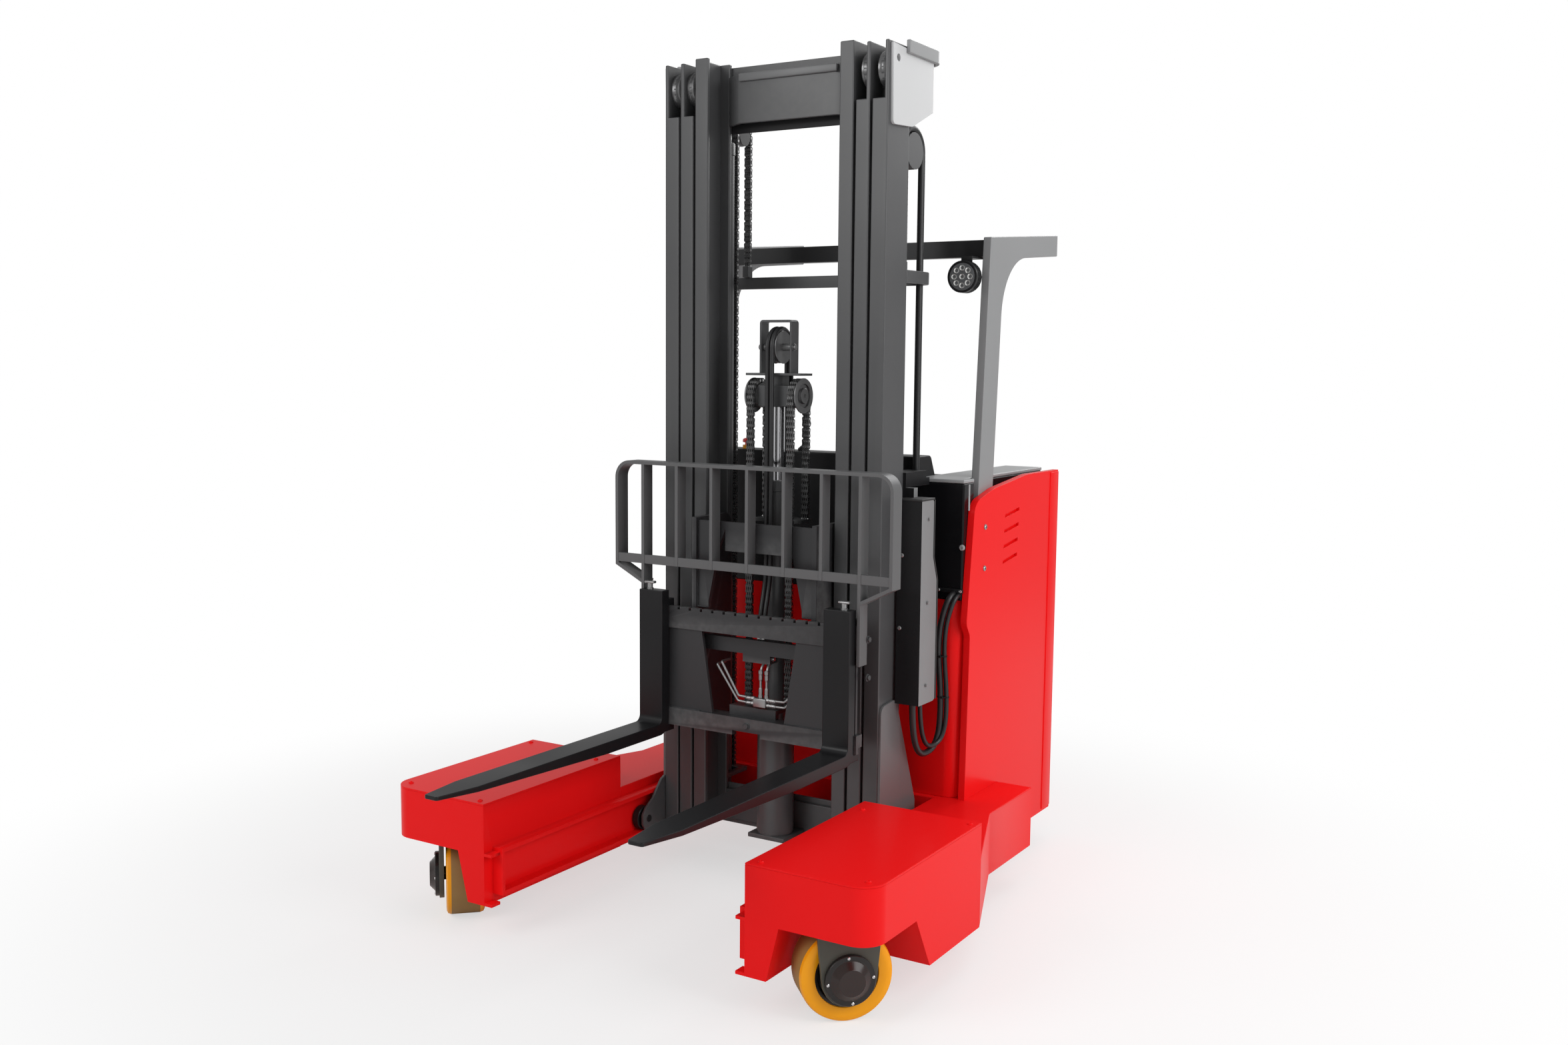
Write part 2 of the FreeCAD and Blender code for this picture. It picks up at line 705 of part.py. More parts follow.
def channel(x0, x1, z0, z1, cut):
    """One mast rail of the near side: its web is outside and its mouth faces inwards. At its
    top the front flange is left off over the given height, which shows the roller there."""
    y0 = MAST_FRONT
    y1 = MAST_REAR
    web = x1 - RAIL_WEB_T
    rail = plan([(x0, y0, 0), (x1, y0, 0), (x1, y1, 0), (x0, y1, 0), (x0, y1 - RAIL_FLANGE_T, 0),
                 (web, y1 - RAIL_FLANGE_T, 0), (web, y0 + RAIL_FLANGE_T, 0), (x0, y0 + RAIL_FLANGE_T, 0)],
                z0, z1)
    if cut:
        rail = rail.cut(box(x0, web, y0, y0 + RAIL_FLANGE_T, z1 - cut, z1))
    return rail


def rail_roller(x0, x1, z):
    return drum(ROLLER_R, Vector(x0, MAST_FRONT + RAIL_DEPTH / 2, z), x1 - x0, X_AXIS)


def outer_rail():
    x0 = OUTER_RAIL_X
    x1 = OUTER_RAIL_X + OUTER_RAIL_W
    rail = channel(x0, x1, RAIL_LOW, RAIL_TOP, TOP_CUT)
    return fuse([rail, rail_roller(x0 + 8, x1 - RAIL_WEB_T, RAIL_TOP - TOP_ROLLER_DROP)])


def top_bracket():
    """The plate on the outer rail's top, with the eye that the mast is lifted by."""
    y = MAST_FRONT
    z = RAIL_TOP
    rear = y + TOP_BRACKET_D
    foot = z - TOP_BRACKET_FOOT
    high = z - 8
    rear_high = high - TOP_BRACKET_FALL
    plate = side([(y + 14, high, 0), (rear, rear_high, 0), (rear, rear_high - TOP_BRACKET_REAR_H, 0),
                  (y + 20 + TOP_BRACKET_FOOT_D, foot + 8, 30), (y + 20, foot, 14)],
                 GUSSET_X, GUSSET_X + TOP_BRACKET_T)
    return plate.cut(cylinder(EYE_R, Vector(GUSSET_X, y + EYE_PLACE, z - EYE_PLACE), TOP_BRACKET_T, X_AXIS))


def foot_frame():
    """The plate and rollers that carry the mast along the leg's rail."""
    x0 = GUSSET_X
    x1 = GUSSET_X + GUSSET_T
    y = MAST_FRONT + 2
    plate = side([(y, RAIL_LOW, 0), (y, GUSSET_TOP - 10, 30), (y + GUSSET_W, GUSSET_TOP, 30),
                  (FOOT_REAR, CHASSIS_TOP, 0), (FOOT_REAR, RAIL_LOW, 0)], x0, x1)
    z = TRACK_BED + FOOT_ROLLER_R + SEAT
    roller_x = TRACK_TIP + 3
    pieces = [plate]
    for y in (MAST_FRONT + 50, FOOT_AXLE_REAR):
        block = FOOT_BLOCK
        pieces.append(box(x1, roller_x, y - block, y + block, z - block, z + block))
        pieces.append(drum(FOOT_ROLLER_R, Vector(roller_x, y, z), FOOT_ROLLER_W, X_AXIS))
    return fuse(pieces)


def tie_bar(x, start, low):
    """A flat bar that is bent round behind the mast, from its one side to the other."""
    return plan(bent_bar([(-x, start, 0), (-x, TIE_REAR, TIE_R), (x, TIE_REAR, TIE_R), (x, start, 0)], TIE_T),
                low, low + TIE_H)


def upper_tie():
    """The tie on the outer faces of the top plates, level with the rails' top."""
    return tie_bar(GUSSET_X + TOP_BRACKET_T + TIE_T, MAST_FRONT + UPPER_TIE_START,
                   RAIL_TOP + UPPER_TIE_RISE - TIE_H)


def outer_cross():
    """The lower tie, with the anchors of the stage chains, and the cross plates below."""
    tie = tie_bar(GUSSET_X, MAST_REAR, TIE_LOW)
    top = TIE_LOW + TIE_H
    anchor = box(LIFT_CHAIN_X - CHAIN_W / 2, LIFT_CHAIN_X + CHAIN_W / 2, LIFT_CHAIN_REAR - CHAIN_T, TIE_REAR,
                 top, top + TIE_H)
    wall = GUSSET_X - RAIL_WEB_T
    plate = box(-wall, wall, MAST_REAR, MAST_REAR + OUTER_FOOT_T, RAIL_LOW, RAIL_LOW + OUTER_FOOT_H)
    shelf = box(-GUSSET_X, GUSSET_X, MAST_REAR + OUTER_FOOT_T, FOOT_REAR - 2, RAIL_LOW, RAIL_LOW + 16)
    return Part.makeCompound([fuse([tie] + both_sides(anchor)), fuse([plate, shelf])])


def hose_cover():
    """The folded cover on the outer rail that the hoses run down in, and the clamp above it."""
    x0 = GUSSET_X + GUSSET_T
    x1 = HOSE_COVER_OUT
    y0 = HOSE_COVER_FRONT
    y1 = y0 + HOSE_COVER_D
    notch = y1 - HOSE_COVER_NOTCH
    step = HOSE_COVER_STEP
    profile = [(y0, HOSE_COVER_LOW, 0), (y0, HOSE_COVER_TOP, 0), (notch, HOSE_COVER_TOP, 20), (notch, step + 40, 0),
               (y1, step - 40, 0), (y1, HOSE_COVER_LOW, 20)]
    clamp_x = MAST_HOSE_X - 2 * MAST_HOSE_R
    z = MAST_HOSE_LOW - CLAMP_H
    clamp_end = MAST_HOSE_Y + 2 * MAST_HOSE_BEND + MAST_HOSE_R
    clamp = box(clamp_x, x0, MAST_REAR, clamp_end, z, z + CLAMP_H)
    clamp = clamp.cut(box(clamp_x, x0, MAST_HOSE_Y + 2 * MAST_HOSE_BEND - MAST_HOSE_R - 1, clamp_end,
                          z + CLAMP_H / 2, z + CLAMP_H))
    lip = box(x0 - GUSSET_T, x0 + 30, MAST_REAR, notch - 10, HOSE_COVER_TOP, z)
    return fuse([side(profile, x0, x1), clamp, lip])


def lift_barrels():
    z0 = RAIL_LOW + 16
    barrel = drum(LIFT_BARREL_R, Vector(LIFT_X, LIFT_Y, z0), LIFT_BARREL_TOP - z0, Z_AXIS)
    bore = cylinder(LIFT_ROD_R + SEAT, Vector(LIFT_X, LIFT_Y, z0 + 44), LIFT_BARREL_TOP, Z_AXIS)
    return Part.makeCompound(both_sides(barrel.cut(bore)))


def mid_rail():
    x0 = MID_RAIL_X
    x1 = MID_RAIL_X + RAIL_W
    low = RAIL_LOW + STAGE_STEP
    rail = channel(x0, x1, low, RAIL_TOP, TOP_CUT)
    top_roller = rail_roller(x0 + 8, x1 - RAIL_WEB_T, RAIL_TOP - TOP_ROLLER_DROP)
    reach = OUTER_RAIL_X + OUTER_RAIL_W - RAIL_WEB_T - 5
    return fuse([rail, top_roller, rail_roller(x1, reach, RAIL_LOW + FOOT_ROLLER_RISE)])


def mid_cross():
    """The head of the middle stage: its plates, the chains' and hoses' pulleys and the rods."""
    out = MID_RAIL_X + RAIL_W
    plate = box(-out, out, MAST_REAR, MAST_REAR + MID_HEAD_T, RAIL_TOP - MID_HEAD_H, RAIL_TOP)
    pulley_y = (LIFT_CHAIN_Y + LIFT_CHAIN_REAR) / 2
    rear = pulley_y + 30
    deck = box(-out, out, MAST_REAR + MID_HEAD_T, rear, RAIL_TOP - 14, RAIL_TOP)
    x0 = LIFT_CHAIN_X - CHAIN_W / 2
    x1 = LIFT_CHAIN_X + CHAIN_W / 2
    hanger = box(x1, x1 + 10, pulley_y - 30, rear, LIFT_PULLEY_Z - 30, RAIL_TOP - 14)
    pulley = drum(LIFT_PULLEY_R, Vector(x0, pulley_y, LIFT_PULLEY_Z), x1 - x0, X_AXIS)
    rod_low = RAIL_LOW + 100
    rod = drum(LIFT_ROD_R, Vector(LIFT_X, LIFT_Y, rod_low), RAIL_TOP - 14 - rod_low, Z_AXIS)
    hose_y = MAST_HOSE_Y + MAST_HOSE_BEND
    hose_x = MAST_HOSE_X - MAST_HOSE_R
    bracket = box(out, hose_x, hose_y - 20, hose_y + 20, MAST_HOSE_TOP - 20, RAIL_TOP)
    hose_pulley = drum(MAST_HOSE_BEND - MAST_HOSE_R - 1, Vector(hose_x, hose_y, MAST_HOSE_TOP),
                       2 * MAST_HOSE_R, X_AXIS)
    pieces = [plate, deck, bracket, hose_pulley]
    for piece in (hanger, pulley, rod):
        pieces += both_sides(piece)
    return fuse(pieces)


def inner_rail():
    x1 = INNER_RAIL_X + RAIL_W
    low = RAIL_LOW + 2 * STAGE_STEP
    rail = channel(INNER_RAIL_X, x1, low, INNER_TOP, 0)
    reach = MID_RAIL_X + RAIL_W - RAIL_WEB_T - 5
    return fuse([rail, rail_roller(x1, reach, low + FOOT_ROLLER_RISE)])


def inner_cross():
    """The inner stage's head and foot plates, and the arms that the stage chains pull on."""
    rear = MAST_REAR - 4
    tip = INNER_RAIL_X
    flat = INNER_HEAD_FLAT
    face = MAST_FRONT + 92
    back = face + INNER_HEAD_T
    top = plan([(-tip, rear - 14, 0), (-flat, face, 0), (flat, face, 0), (tip, rear - 14, 0), (tip, rear, 0),
                (flat - 6, back, 0), (6 - flat, back, 0), (-tip, rear, 0)],
               INNER_HEAD_LOW, INNER_HEAD_LOW + INNER_HEAD_H)
    z = RAIL_LOW + 2 * STAGE_STEP
    plate = box(-tip, tip, rear - INNER_FOOT_T, rear, z, z + INNER_FOOT_H)
    half = FREE_BASE_R + 10
    shelf = box(-half, half, FREE_Y - FREE_BASE_R, rear - INNER_FOOT_T, z, z + 16)
    arm_x = LIFT_X - LIFT_BARREL_R - CLEAR
    behind = LIFT_Y + LIFT_BARREL_R + CLEAR
    end = LIFT_CHAIN_Y + CHAIN_T
    arm = plan([(tip + 2, MAST_REAR, 0), (arm_x, MAST_REAR, 0), (arm_x, behind, 0),
                (LIFT_CHAIN_X + CHAIN_W / 2, behind, 0), (LIFT_CHAIN_X + CHAIN_W / 2, end, 0), (tip + 2, end, 0)],
               LIFT_ANCHOR_Z - LIFT_ANCHOR_H, LIFT_ANCHOR_Z)
    return Part.makeCompound([top, fuse([plate, shelf])] + both_sides(arm))


def free_barrel():
    """The free-lift cylinder: a wide base, a slimmer barrel and the plate that its chains end on."""
    z0 = RAIL_LOW + 2 * STAGE_STEP + 16
    base = drum(FREE_BASE_R, Vector(0, FREE_Y, z0), FREE_BASE_TOP - z0, Z_AXIS)
    barrel = drum(FREE_BARREL_R, Vector(0, FREE_Y, FREE_BASE_TOP), FREE_BARREL_TOP - FREE_BASE_TOP, Z_AXIS)
    strand_y = FREE_Y + SHEAVE_R
    out = FREE_CHAIN_X + CHAIN_W / 2
    anchor = box(-out, out, FREE_Y, strand_y + 2 * CHAIN_T, ANCHOR_Z - ANCHOR_T, ANCHOR_Z)
    whole = fuse([base, barrel, anchor])
    return whole.cut(cylinder(FREE_ROD_R + SEAT, Vector(0, FREE_Y, z0 + 40), FREE_BARREL_TOP, Z_AXIS))


def rod_head():
    """The chromed rod and its head block, with the hose pulley's yoke on the plate above."""
    y = FREE_Y
    rod_low = FREE_BASE_TOP + CLEAR
    rod = drum(FREE_ROD_R, Vector(0, y, rod_low), FREE_HEAD_LOW - rod_low, Z_AXIS)
    half = HEAD_W / 2
    block = box(-half, half, y - HEAD_D / 2, y + HEAD_D / 2, FREE_HEAD_LOW, FREE_HEAD_LOW + HEAD_H)
    neck = box(-30, 30, y - 20, y + 20, FREE_HEAD_LOW + HEAD_H, HEAD_PLATE_Z)
    top = HEAD_PLATE_Z + HEAD_PLATE_T
    plate = box(-HEAD_PLATE_W / 2, HEAD_PLATE_W / 2, y - 40, y + 40, HEAD_PLATE_Z, top)
    x = YOKE_W / 2
    z = top + YOKE_H
    yoke = front(bent_bar([(-x, top, 0), (-x, z, 12), (x, z, 12), (x, top, 0)], HEAD_PLATE_T),
                 y - YOKE_D / 2, y + YOKE_D / 2)
    return fuse([rod, block, neck, plate, yoke])


def chain_sheaves():
    """The two chain sheaves beside the head block, each with its outer rim, and the hose pulley."""
    start = HEAD_W / 2 + SEAT
    wheel = drum(SHEAVE_R, Vector(start, FREE_Y, SHEAVE_Z), SHEAVE_W, X_AXIS)
    rim = drum(SHEAVE_RIM_R, Vector(start + SHEAVE_W, FREE_Y, SHEAVE_Z), SHEAVE_RIM_T, X_AXIS)
    inside = YOKE_W / 2 - HEAD_PLATE_T - SEAT
    pulley = fuse([drum(PULLEY_R, Vector(PULLEY_X - PULLEY_W / 2, FREE_Y, PULLEY_Z), PULLEY_W, X_AXIS),
                   drum(PULLEY_PIN_R, Vector(-inside, FREE_Y, PULLEY_Z), 2 * inside, X_AXIS, PIN_SIDES)])
    return Part.makeCompound(both_sides(fuse([wheel, rim])) + [pulley])


def loop_over(x0, x1, y0, y1, front_low, rear_low, centre_z, thickness):
    """A flat band that hangs from two strands over a wheel, whose seats are at y0 and y1."""
    radius = (y1 - y0) / 2 + thickness
    top = centre_z + radius
    path = [(y0 - thickness, front_low, 0), (y0 - thickness, top, radius - 0.01),
            (y1 + thickness, top, radius - 0.01), (y1 + thickness, rear_low, 0)]
    return side(bent_bar(path, thickness), x0, x1)


def free_chains():
    """The free-lift chains, from the carriage over the sheaves to the cylinder's plate."""
    start = HEAD_W / 2 + SEAT + (SHEAVE_W - CHAIN_W) / 2
    seat = SHEAVE_R + SEAT
    band = loop_over(start, start + CHAIN_W, FREE_Y - seat, FREE_Y + seat, FREE_CHAIN_LOW, ANCHOR_Z + SEAT,
                     SHEAVE_Z, CHAIN_T)
    return Part.makeCompound(both_sides(band))


def lift_chains():
    """The stage chains, from the inner stage's arms over the middle stage's pulleys to the tie."""
    gap = SEAT
    low = LIFT_ANCHOR_Z + SEAT
    band = loop_over(LIFT_CHAIN_X - CHAIN_W / 2, LIFT_CHAIN_X + CHAIN_W / 2 - SEAT, LIFT_CHAIN_Y + CHAIN_T / 2 - gap,
                     LIFT_CHAIN_REAR - CHAIN_T / 2 + gap, low, TIE_LOW + 2 * TIE_H + SEAT, LIFT_PULLEY_Z, CHAIN_T)
    return Part.makeCompound(both_sides(band))


def hose(points, radius):
    """A six-sided tube along (x, y, z, bend radius) points: straight runs joined by tangent arcs."""
    edges = []
    start = Vector(*points[0][:3])
    first_way = Vector(*points[1][:3]) - start
    for i in range(1, len(points) - 1):
        corner = Vector(*points[i][:3])
        before = Vector(*points[i - 1][:3]) - corner
        after = Vector(*points[i + 1][:3]) - corner
        before.normalize()
        after.normalize()
        half_angle = before.getAngle(after) / 2
        bend = points[i][3]
        setback = bend / math.tan(half_angle)
        middle = before + after
        middle.normalize()
        centre = corner + middle * (bend / math.sin(half_angle))
        finish = corner + before * setback
        edges.append(Part.makeLine(start, finish))
        edges.append(Part.Arc(finish, centre - middle * bend, corner + after * setback).toShape())
        start = corner + after * setback
    edges.append(Part.makeLine(start, Vector(*points[-1][:3])))
    path = Part.Wire(edges)
    first_way.normalize()
    across = first_way.cross(X_AXIS)
    if across.Length < 0.1:
        across = first_way.cross(Y_AXIS)
    across.normalize()
    other = first_way.cross(across)
    origin = Vector(*points[0][:3])
    ring = []
    for k in range(7):
        angle = math.radians(60 * k)
        ring.append(origin + across * (radius * math.cos(angle)) + other * (radius * math.sin(angle)))
    return path.makePipeShell([Part.makePolygon(ring)], True, False)


def pulley_hoses():
    """The two hoses from the carriage's valve over the yoke's pulley to the cylinder's plate."""
    seat = PULLEY_R + HOSE_R + SEAT
    pieces = []
    for x in (PULLEY_X - HOSE_R - 1, PULLEY_X + HOSE_R + 1):
        y0 = FREE_Y - seat
        y1 = FREE_Y + seat
        top = PULLEY_Z + seat
        pieces.append(hose([(x, VALVE_HOSE_Y, VALVE_TOP + SEAT, 0), (x, VALVE_HOSE_Y, VALVE_TOP + 110, 60),
                            (x, y0, VALVE_TOP + 240, 60), (x, y0, top, seat - 0.01), (x, y1, top, seat - 0.01),
                            (x, y1, ANCHOR_Z + SEAT, 0)], HOSE_R))
    return Part.makeCompound(pieces)


def loop_hoses():
    """Two free hoses that hang in a loop from the mast's hose cover to the electrics box, so
    that the mast can reach forward. Both are plain tubes along their real route."""
    start_z = HOSE_COVER_LOW - SEAT
    hood_y = HOUSING_FRONT - SEAT
    thick = [(490, 1030, start_z, 0), (490, 1032, 508, 62), (516, 1168, 508, 62), (531, 1174, 660, 260),
             (506, 1176, 900, 200), (546, 1178, 1048, 36), (546, hood_y, 1048, 0)]
    thin = [(500, 1066, start_z, 0), (502, 1070, 532, 48), (534, 1174, 532, 48), (552, 1178, 660, 260),
            (526, 1180, 900, 200), (565, 1182, 1044, 34), (565, hood_y, 1044, 0)]
    return Part.makeCompound([hose(thick, LOOP_HOSE_R), hose(thin, LOOP_HOSE_THIN_R)])


def mast_hose():
    """The hose pair over the middle stage's pulley, in one outer shape, down to its clamp."""
    y0 = MAST_HOSE_Y
    y1 = MAST_HOSE_Y + 2 * MAST_HOSE_BEND
    top = MAST_HOSE_TOP + MAST_HOSE_BEND
    bend = MAST_HOSE_BEND - 0.01
    return hose([(MAST_HOSE_X, y0, MAST_HOSE_LOW + SEAT, 0), (MAST_HOSE_X, y0, top, bend),
                 (MAST_HOSE_X, y1, top, bend), (MAST_HOSE_X, y1, MAST_HOSE_LOW - CLAMP_H / 2 + SEAT, 0)], MAST_HOSE_R)


def carriage():
    """Two hooked bars, the window plate, the side plates with their rollers, and the beams."""
    out = CARRIAGE_OUT
    low = LOW_BAR_LOW
    low_top = low + LOW_BAR_H
    high_low = BAR_TOP - BAR_H
    y0 = BAR_FRONT
    y1 = BAR_REAR
    tongue = y0 + TONGUE_T
    grip = HOOK_T + CLEAR
    top_bar = side([(y0, high_low, 0), (y0, BAR_TOP, 0), (tongue, BAR_TOP, 0), (tongue, BAR_TOP - grip, 0),
                    (y1, BAR_TOP - grip, 0), (y1, high_low, 0)], -out, out)
    for i in range(NOTCHES):
        x = (i - (NOTCHES - 1) / 2) * NOTCH_PITCH
        top_bar = top_bar.cut(box(x - NOTCH_W / 2, x + NOTCH_W / 2, y0, tongue, BAR_TOP - NOTCH_H, BAR_TOP))
    low_bar = side([(y0, low, 0), (y0, low_top, 0), (y1, low_top, 0), (y1, low + grip, 0),
                    (tongue, low + grip, 0), (tongue, low, 0)], -out, out)
    half = LOW_NOTCH_W / 2
    low_bar = low_bar.cut(box(-half, half, y0, tongue, low, low + LOW_NOTCH_H))
    web = box(-out + 8, out - 8, y0 + 8, y0 + 8 + WEB_T, low_top, high_low)
    web = web.cut(front([(-WINDOW_LOW_HALF, low_top, 0), (-WINDOW_TOP_HALF, high_low, 0),
                         (WINDOW_TOP_HALF, high_low, 0), (WINDOW_LOW_HALF, low_top, 0)], y0, y1))
    x0 = SIDE_PLATE_X
    x1 = SIDE_PLATE_X + SIDE_PLATE_T
    rear = MAST_FRONT + 120
    side_plate = side([(y1 - 4, SIDE_PLATE_LOW, 0), (y1 - 4, SIDE_PLATE_TOP, 0), (rear, SIDE_PLATE_TOP, 40),
                       (rear, SIDE_PLATE_LOW, 40)], x0, x1)
    rollers = [rail_roller(x1, x1 + 40, z) for z in (ROLLER_LOW, ROLLER_HIGH)]
    yoke_arm = front([(x1, BAR_TOP, 0), (x1, YOKE_TOP, 0), (110, YOKE_TOP, 0), (150, YOKE_LOW, 0),
                      (188, BAR_TOP + 22, 0), (188, BAR_TOP, 0)], y1 + 8, y1 + 8 + YOKE_T)
    pieces = [top_bar, low_bar, web, box(-120, 120, y1 + 8, y1 + 8 + YOKE_T, YOKE_LOW, YOKE_TOP),
              box(-x0, x0, y1 + BEAM_T, y1 + 2 * BEAM_T, BEAM_LOW, BEAM_LOW + BEAM_H),
              box(-x0, x0, y1, y1 + BEAM_T, low_top - 20, low_top)]
    strand_y = FREE_Y - SHEAVE_R - SEAT
    anchor_x = FREE_CHAIN_X + CHAIN_W / 2
    shelf = box(-anchor_x, anchor_x, y1 + BEAM_T, strand_y + CLEAR, FREE_CHAIN_LOW - 14 - SEAT, FREE_CHAIN_LOW - SEAT)
    room = FREE_BASE_R + CLEAR
    shelf = shelf.cut(box(-room, room, FREE_Y - room, strand_y + CLEAR, FREE_CHAIN_LOW - 20, FREE_CHAIN_LOW))
    hanger = box(-anchor_x, anchor_x, y1, y1 + BEAM_T, low_top, FREE_CHAIN_LOW)
    valve_y = y1 + 2 * BEAM_T
    valve = box(PULLEY_X - VALVE_W / 2, PULLEY_X + VALVE_W / 2, y1 + BEAM_T, valve_y + VALVE_D - 10,
                VALVE_TOP - VALVE_H, VALVE_TOP)
    pieces += [shelf, hanger, valve]
    for piece in [side_plate, yoke_arm] + rollers:
        pieces += both_sides(piece)
    return fuse(pieces)


def backrest():
    """A bent flat-bar frame with seven upright bars and a lower rail, its end bars run down
    and bolted to the carriage."""
    out = BACKREST_OUT
    y0 = BACKREST_FRONT
    y1 = BACKREST_FRONT + BACKREST_D
    leg_x = BACKREST_LEG_X
    low = BACKREST_LOW
    path = [(-leg_x, low, 0), (-out, low + BACKREST_R, 0), (-out, BACKREST_TOP, BACKREST_R),
            (out, BACKREST_TOP, BACKREST_R), (out, low + BACKREST_R, 0), (leg_x, low, 0)]
    pieces = [front(bent_bar(path, BACKREST_T), y0, y1)]
    rail_low = BACKREST_RAIL_TOP - BACKREST_RAIL_H
    pieces.append(box(-out + 4, out - 4, y0 + 2, y0 + 14, rail_low, BACKREST_RAIL_TOP))
    for i in range(BACKREST_BARS):
        x = -leg_x + i * BACKREST_PITCH
        foot = BACKREST_FOOT if i in (0, BACKREST_BARS - 1) else rail_low
        pieces.append(box(x - BACKREST_T / 2, x + BACKREST_T / 2, y0, y1 - 8, foot, BACKREST_TOP - 4))
    return fuse(pieces)


def fork():
    """A forged fork: a tapered blade, a shank and the two hooks that grip the bars."""
    y0 = FORK_FACE
    y1 = FORK_FACE + FORK_SHANK_T
    z0 = BLADE_TOP - FORK_BLADE_T
    x0 = FORK_IN
    x1 = FORK_IN + FORK_W
    low = LOW_BAR_LOW
    grip = BAR_FRONT + TONGUE_T + SEAT
    end = grip + HOOK_T
    body = side([(FORK_TIP, BLADE_TOP - 12, 0), (FORK_TIP, BLADE_TOP, 0), (y0, BLADE_TOP, 24), (y0, FORK_TOP, 0),
                 (y1, FORK_TOP, 0), (y1, z0, HEEL_R), (y0 - BLADE_TAPER, z0, 0)], x0, x1)
    upper_hook = side([(y1 - 1, BAR_TOP + SEAT, 0), (y1 - 1, BAR_TOP + HOOK_H, 0), (end, BAR_TOP + HOOK_H, 0),
                       (end, BAR_TOP - HOOK_T, 0), (grip, BAR_TOP - HOOK_T, 0), (grip, BAR_TOP + SEAT, 0)], x0, x1)
    lower_hook = side([(y1 - HEEL_R, low - SEAT, 0), (grip, low - SEAT, 0), (grip, low + HOOK_T, 0),
                       (end, low + HOOK_T, 0), (end, low - HOOK_H, 0), (y1 - HEEL_R, low - HOOK_H, 0)], x0, x1)
    whole = fuse([body, upper_hook, lower_hook])
    top_view = plan([(x0 + TIP_IN, FORK_TIP, 10), (x1 - TIP_IN, FORK_TIP, 10), (x1, FORK_TIP + TIP_LENGTH, 0),
                     (x1, end, 0), (x0, end, 0), (x0, FORK_TIP + TIP_LENGTH, 0)], low - HOOK_H - 10, FORK_TOP)
    return whole.common(top_view)


def turned(shape, angle):
    """A piece of the near load wheel, built facing +X, turned about its steering axis."""
    shape.rotate(Vector(LOAD_WHEEL_X, LOAD_WHEEL_Y, 0), Z_AXIS, angle)
    return shape


def wheel_bracket():
    """The turntable, the one-sided bracket below it and the axle with its hub cover."""
    x, y, r = LOAD_WHEEL_X, LOAD_WHEEL_Y, LOAD_WHEEL_R
    low = TURNTABLE_TOP - TURNTABLE_T
    disc = drum(TURNTABLE_R, Vector(x, y, low), TURNTABLE_T, Z_AXIS)
    face = x + LOAD_WHEEL_W / 2 + 6
    neck = BRACKET_NECK_W / 2
    half = BRACKET_W / 2
    shoulder = ARCH_TOP - CLEAR
    end = BRACKET_END_R
    plate = side([(y - neck, low, 0), (y + neck, low, 0), (y + half, shoulder, 0), (y + end, r, 0),
                  (y - end, r, 0), (y - half, shoulder, 0)], face, face + BRACKET_T)
    lower_end = drum(end, Vector(face, y, r), BRACKET_T, X_AXIS)
    start = Vector(face + BRACKET_T, y, r)
    cap = Part.makeLoft([drum_ring(HUB_CAP_R, start + X_AXIS * HUB_FLANGE_T, X_AXIS, DRUM_SIDES),
                         drum_ring(HUB_CAP_TIP_R, start + X_AXIS * HUB_H, X_AXIS, DRUM_SIDES)], True, True)
    hub = fuse([lower_end, drum(HUB_R, start, HUB_FLANGE_T, X_AXIS), cap])
    axle = cylinder(LOAD_AXLE_R, Vector(x - 40, y, r), face - x + 40, X_AXIS)
    return turned(fuse([disc, plate, hub, axle]), -REST_STEER)


def load_wheel():
    x, y, r = LOAD_WHEEL_X, LOAD_WHEEL_Y, LOAD_WHEEL_R
    half = LOAD_WHEEL_W / 2
    bevel = TREAD_BEVEL
    parts = [drum(r, Vector(x - half + bevel, y, r), 2 * (half - bevel), X_AXIS, TYRE_SIDES)]
    for edge, way in ((x - half, 1), (x + half, -1)):
        parts.append(Part.makeLoft([drum_ring(r - bevel, Vector(edge, y, r), X_AXIS, TYRE_SIDES),
                                    drum_ring(r, Vector(edge + way * bevel, y, r), X_AXIS, TYRE_SIDES)], True, True))
    bore = cylinder(LOAD_AXLE_R + SEAT, Vector(x - half, y, r), 2 * half, X_AXIS)
    wheel = fuse(parts).cut(bore)
    return turned(wheel, -REST_STEER)


def drive_unit():
    """The drive motor on its slewing ring, and the gear case that carries the wheel."""
    x, y = DRIVE_X, DRIVE_Y
    mount_low = DRIVE_MOUNT_TOP - DRIVE_MOUNT_T
    mount = drum(DRIVE_MOUNT_R, Vector(x, y, mount_low), DRIVE_MOUNT_T, Z_AXIS)
    motor = drum(DRIVE_MOTOR_R, Vector(x, y, DRIVE_MOUNT_TOP), DRIVE_MOTOR_H, Z_AXIS)
    gear_x = x + DRIVE_WHEEL_W / 2 + CLEAR
    gear = box(gear_x, gear_x + GEAR_T, y - 70, y + 70, DRIVE_WHEEL_R - GEAR_T, mount_low)
    stub = cylinder(DRIVE_STUB_R, Vector(x - 30, y, DRIVE_WHEEL_R), gear_x - x + 30, X_AXIS)
    return fuse([mount, motor, gear, stub])


def drive_wheel():
    x, y, r = DRIVE_X, DRIVE_Y, DRIVE_WHEEL_R
    start = Vector(x - DRIVE_WHEEL_W / 2, y, r)
    return drum(r, start, DRIVE_WHEEL_W, X_AXIS, TYRE_SIDES).cut(
        cylinder(DRIVE_STUB_R + SEAT, start, DRIVE_WHEEL_W, X_AXIS))


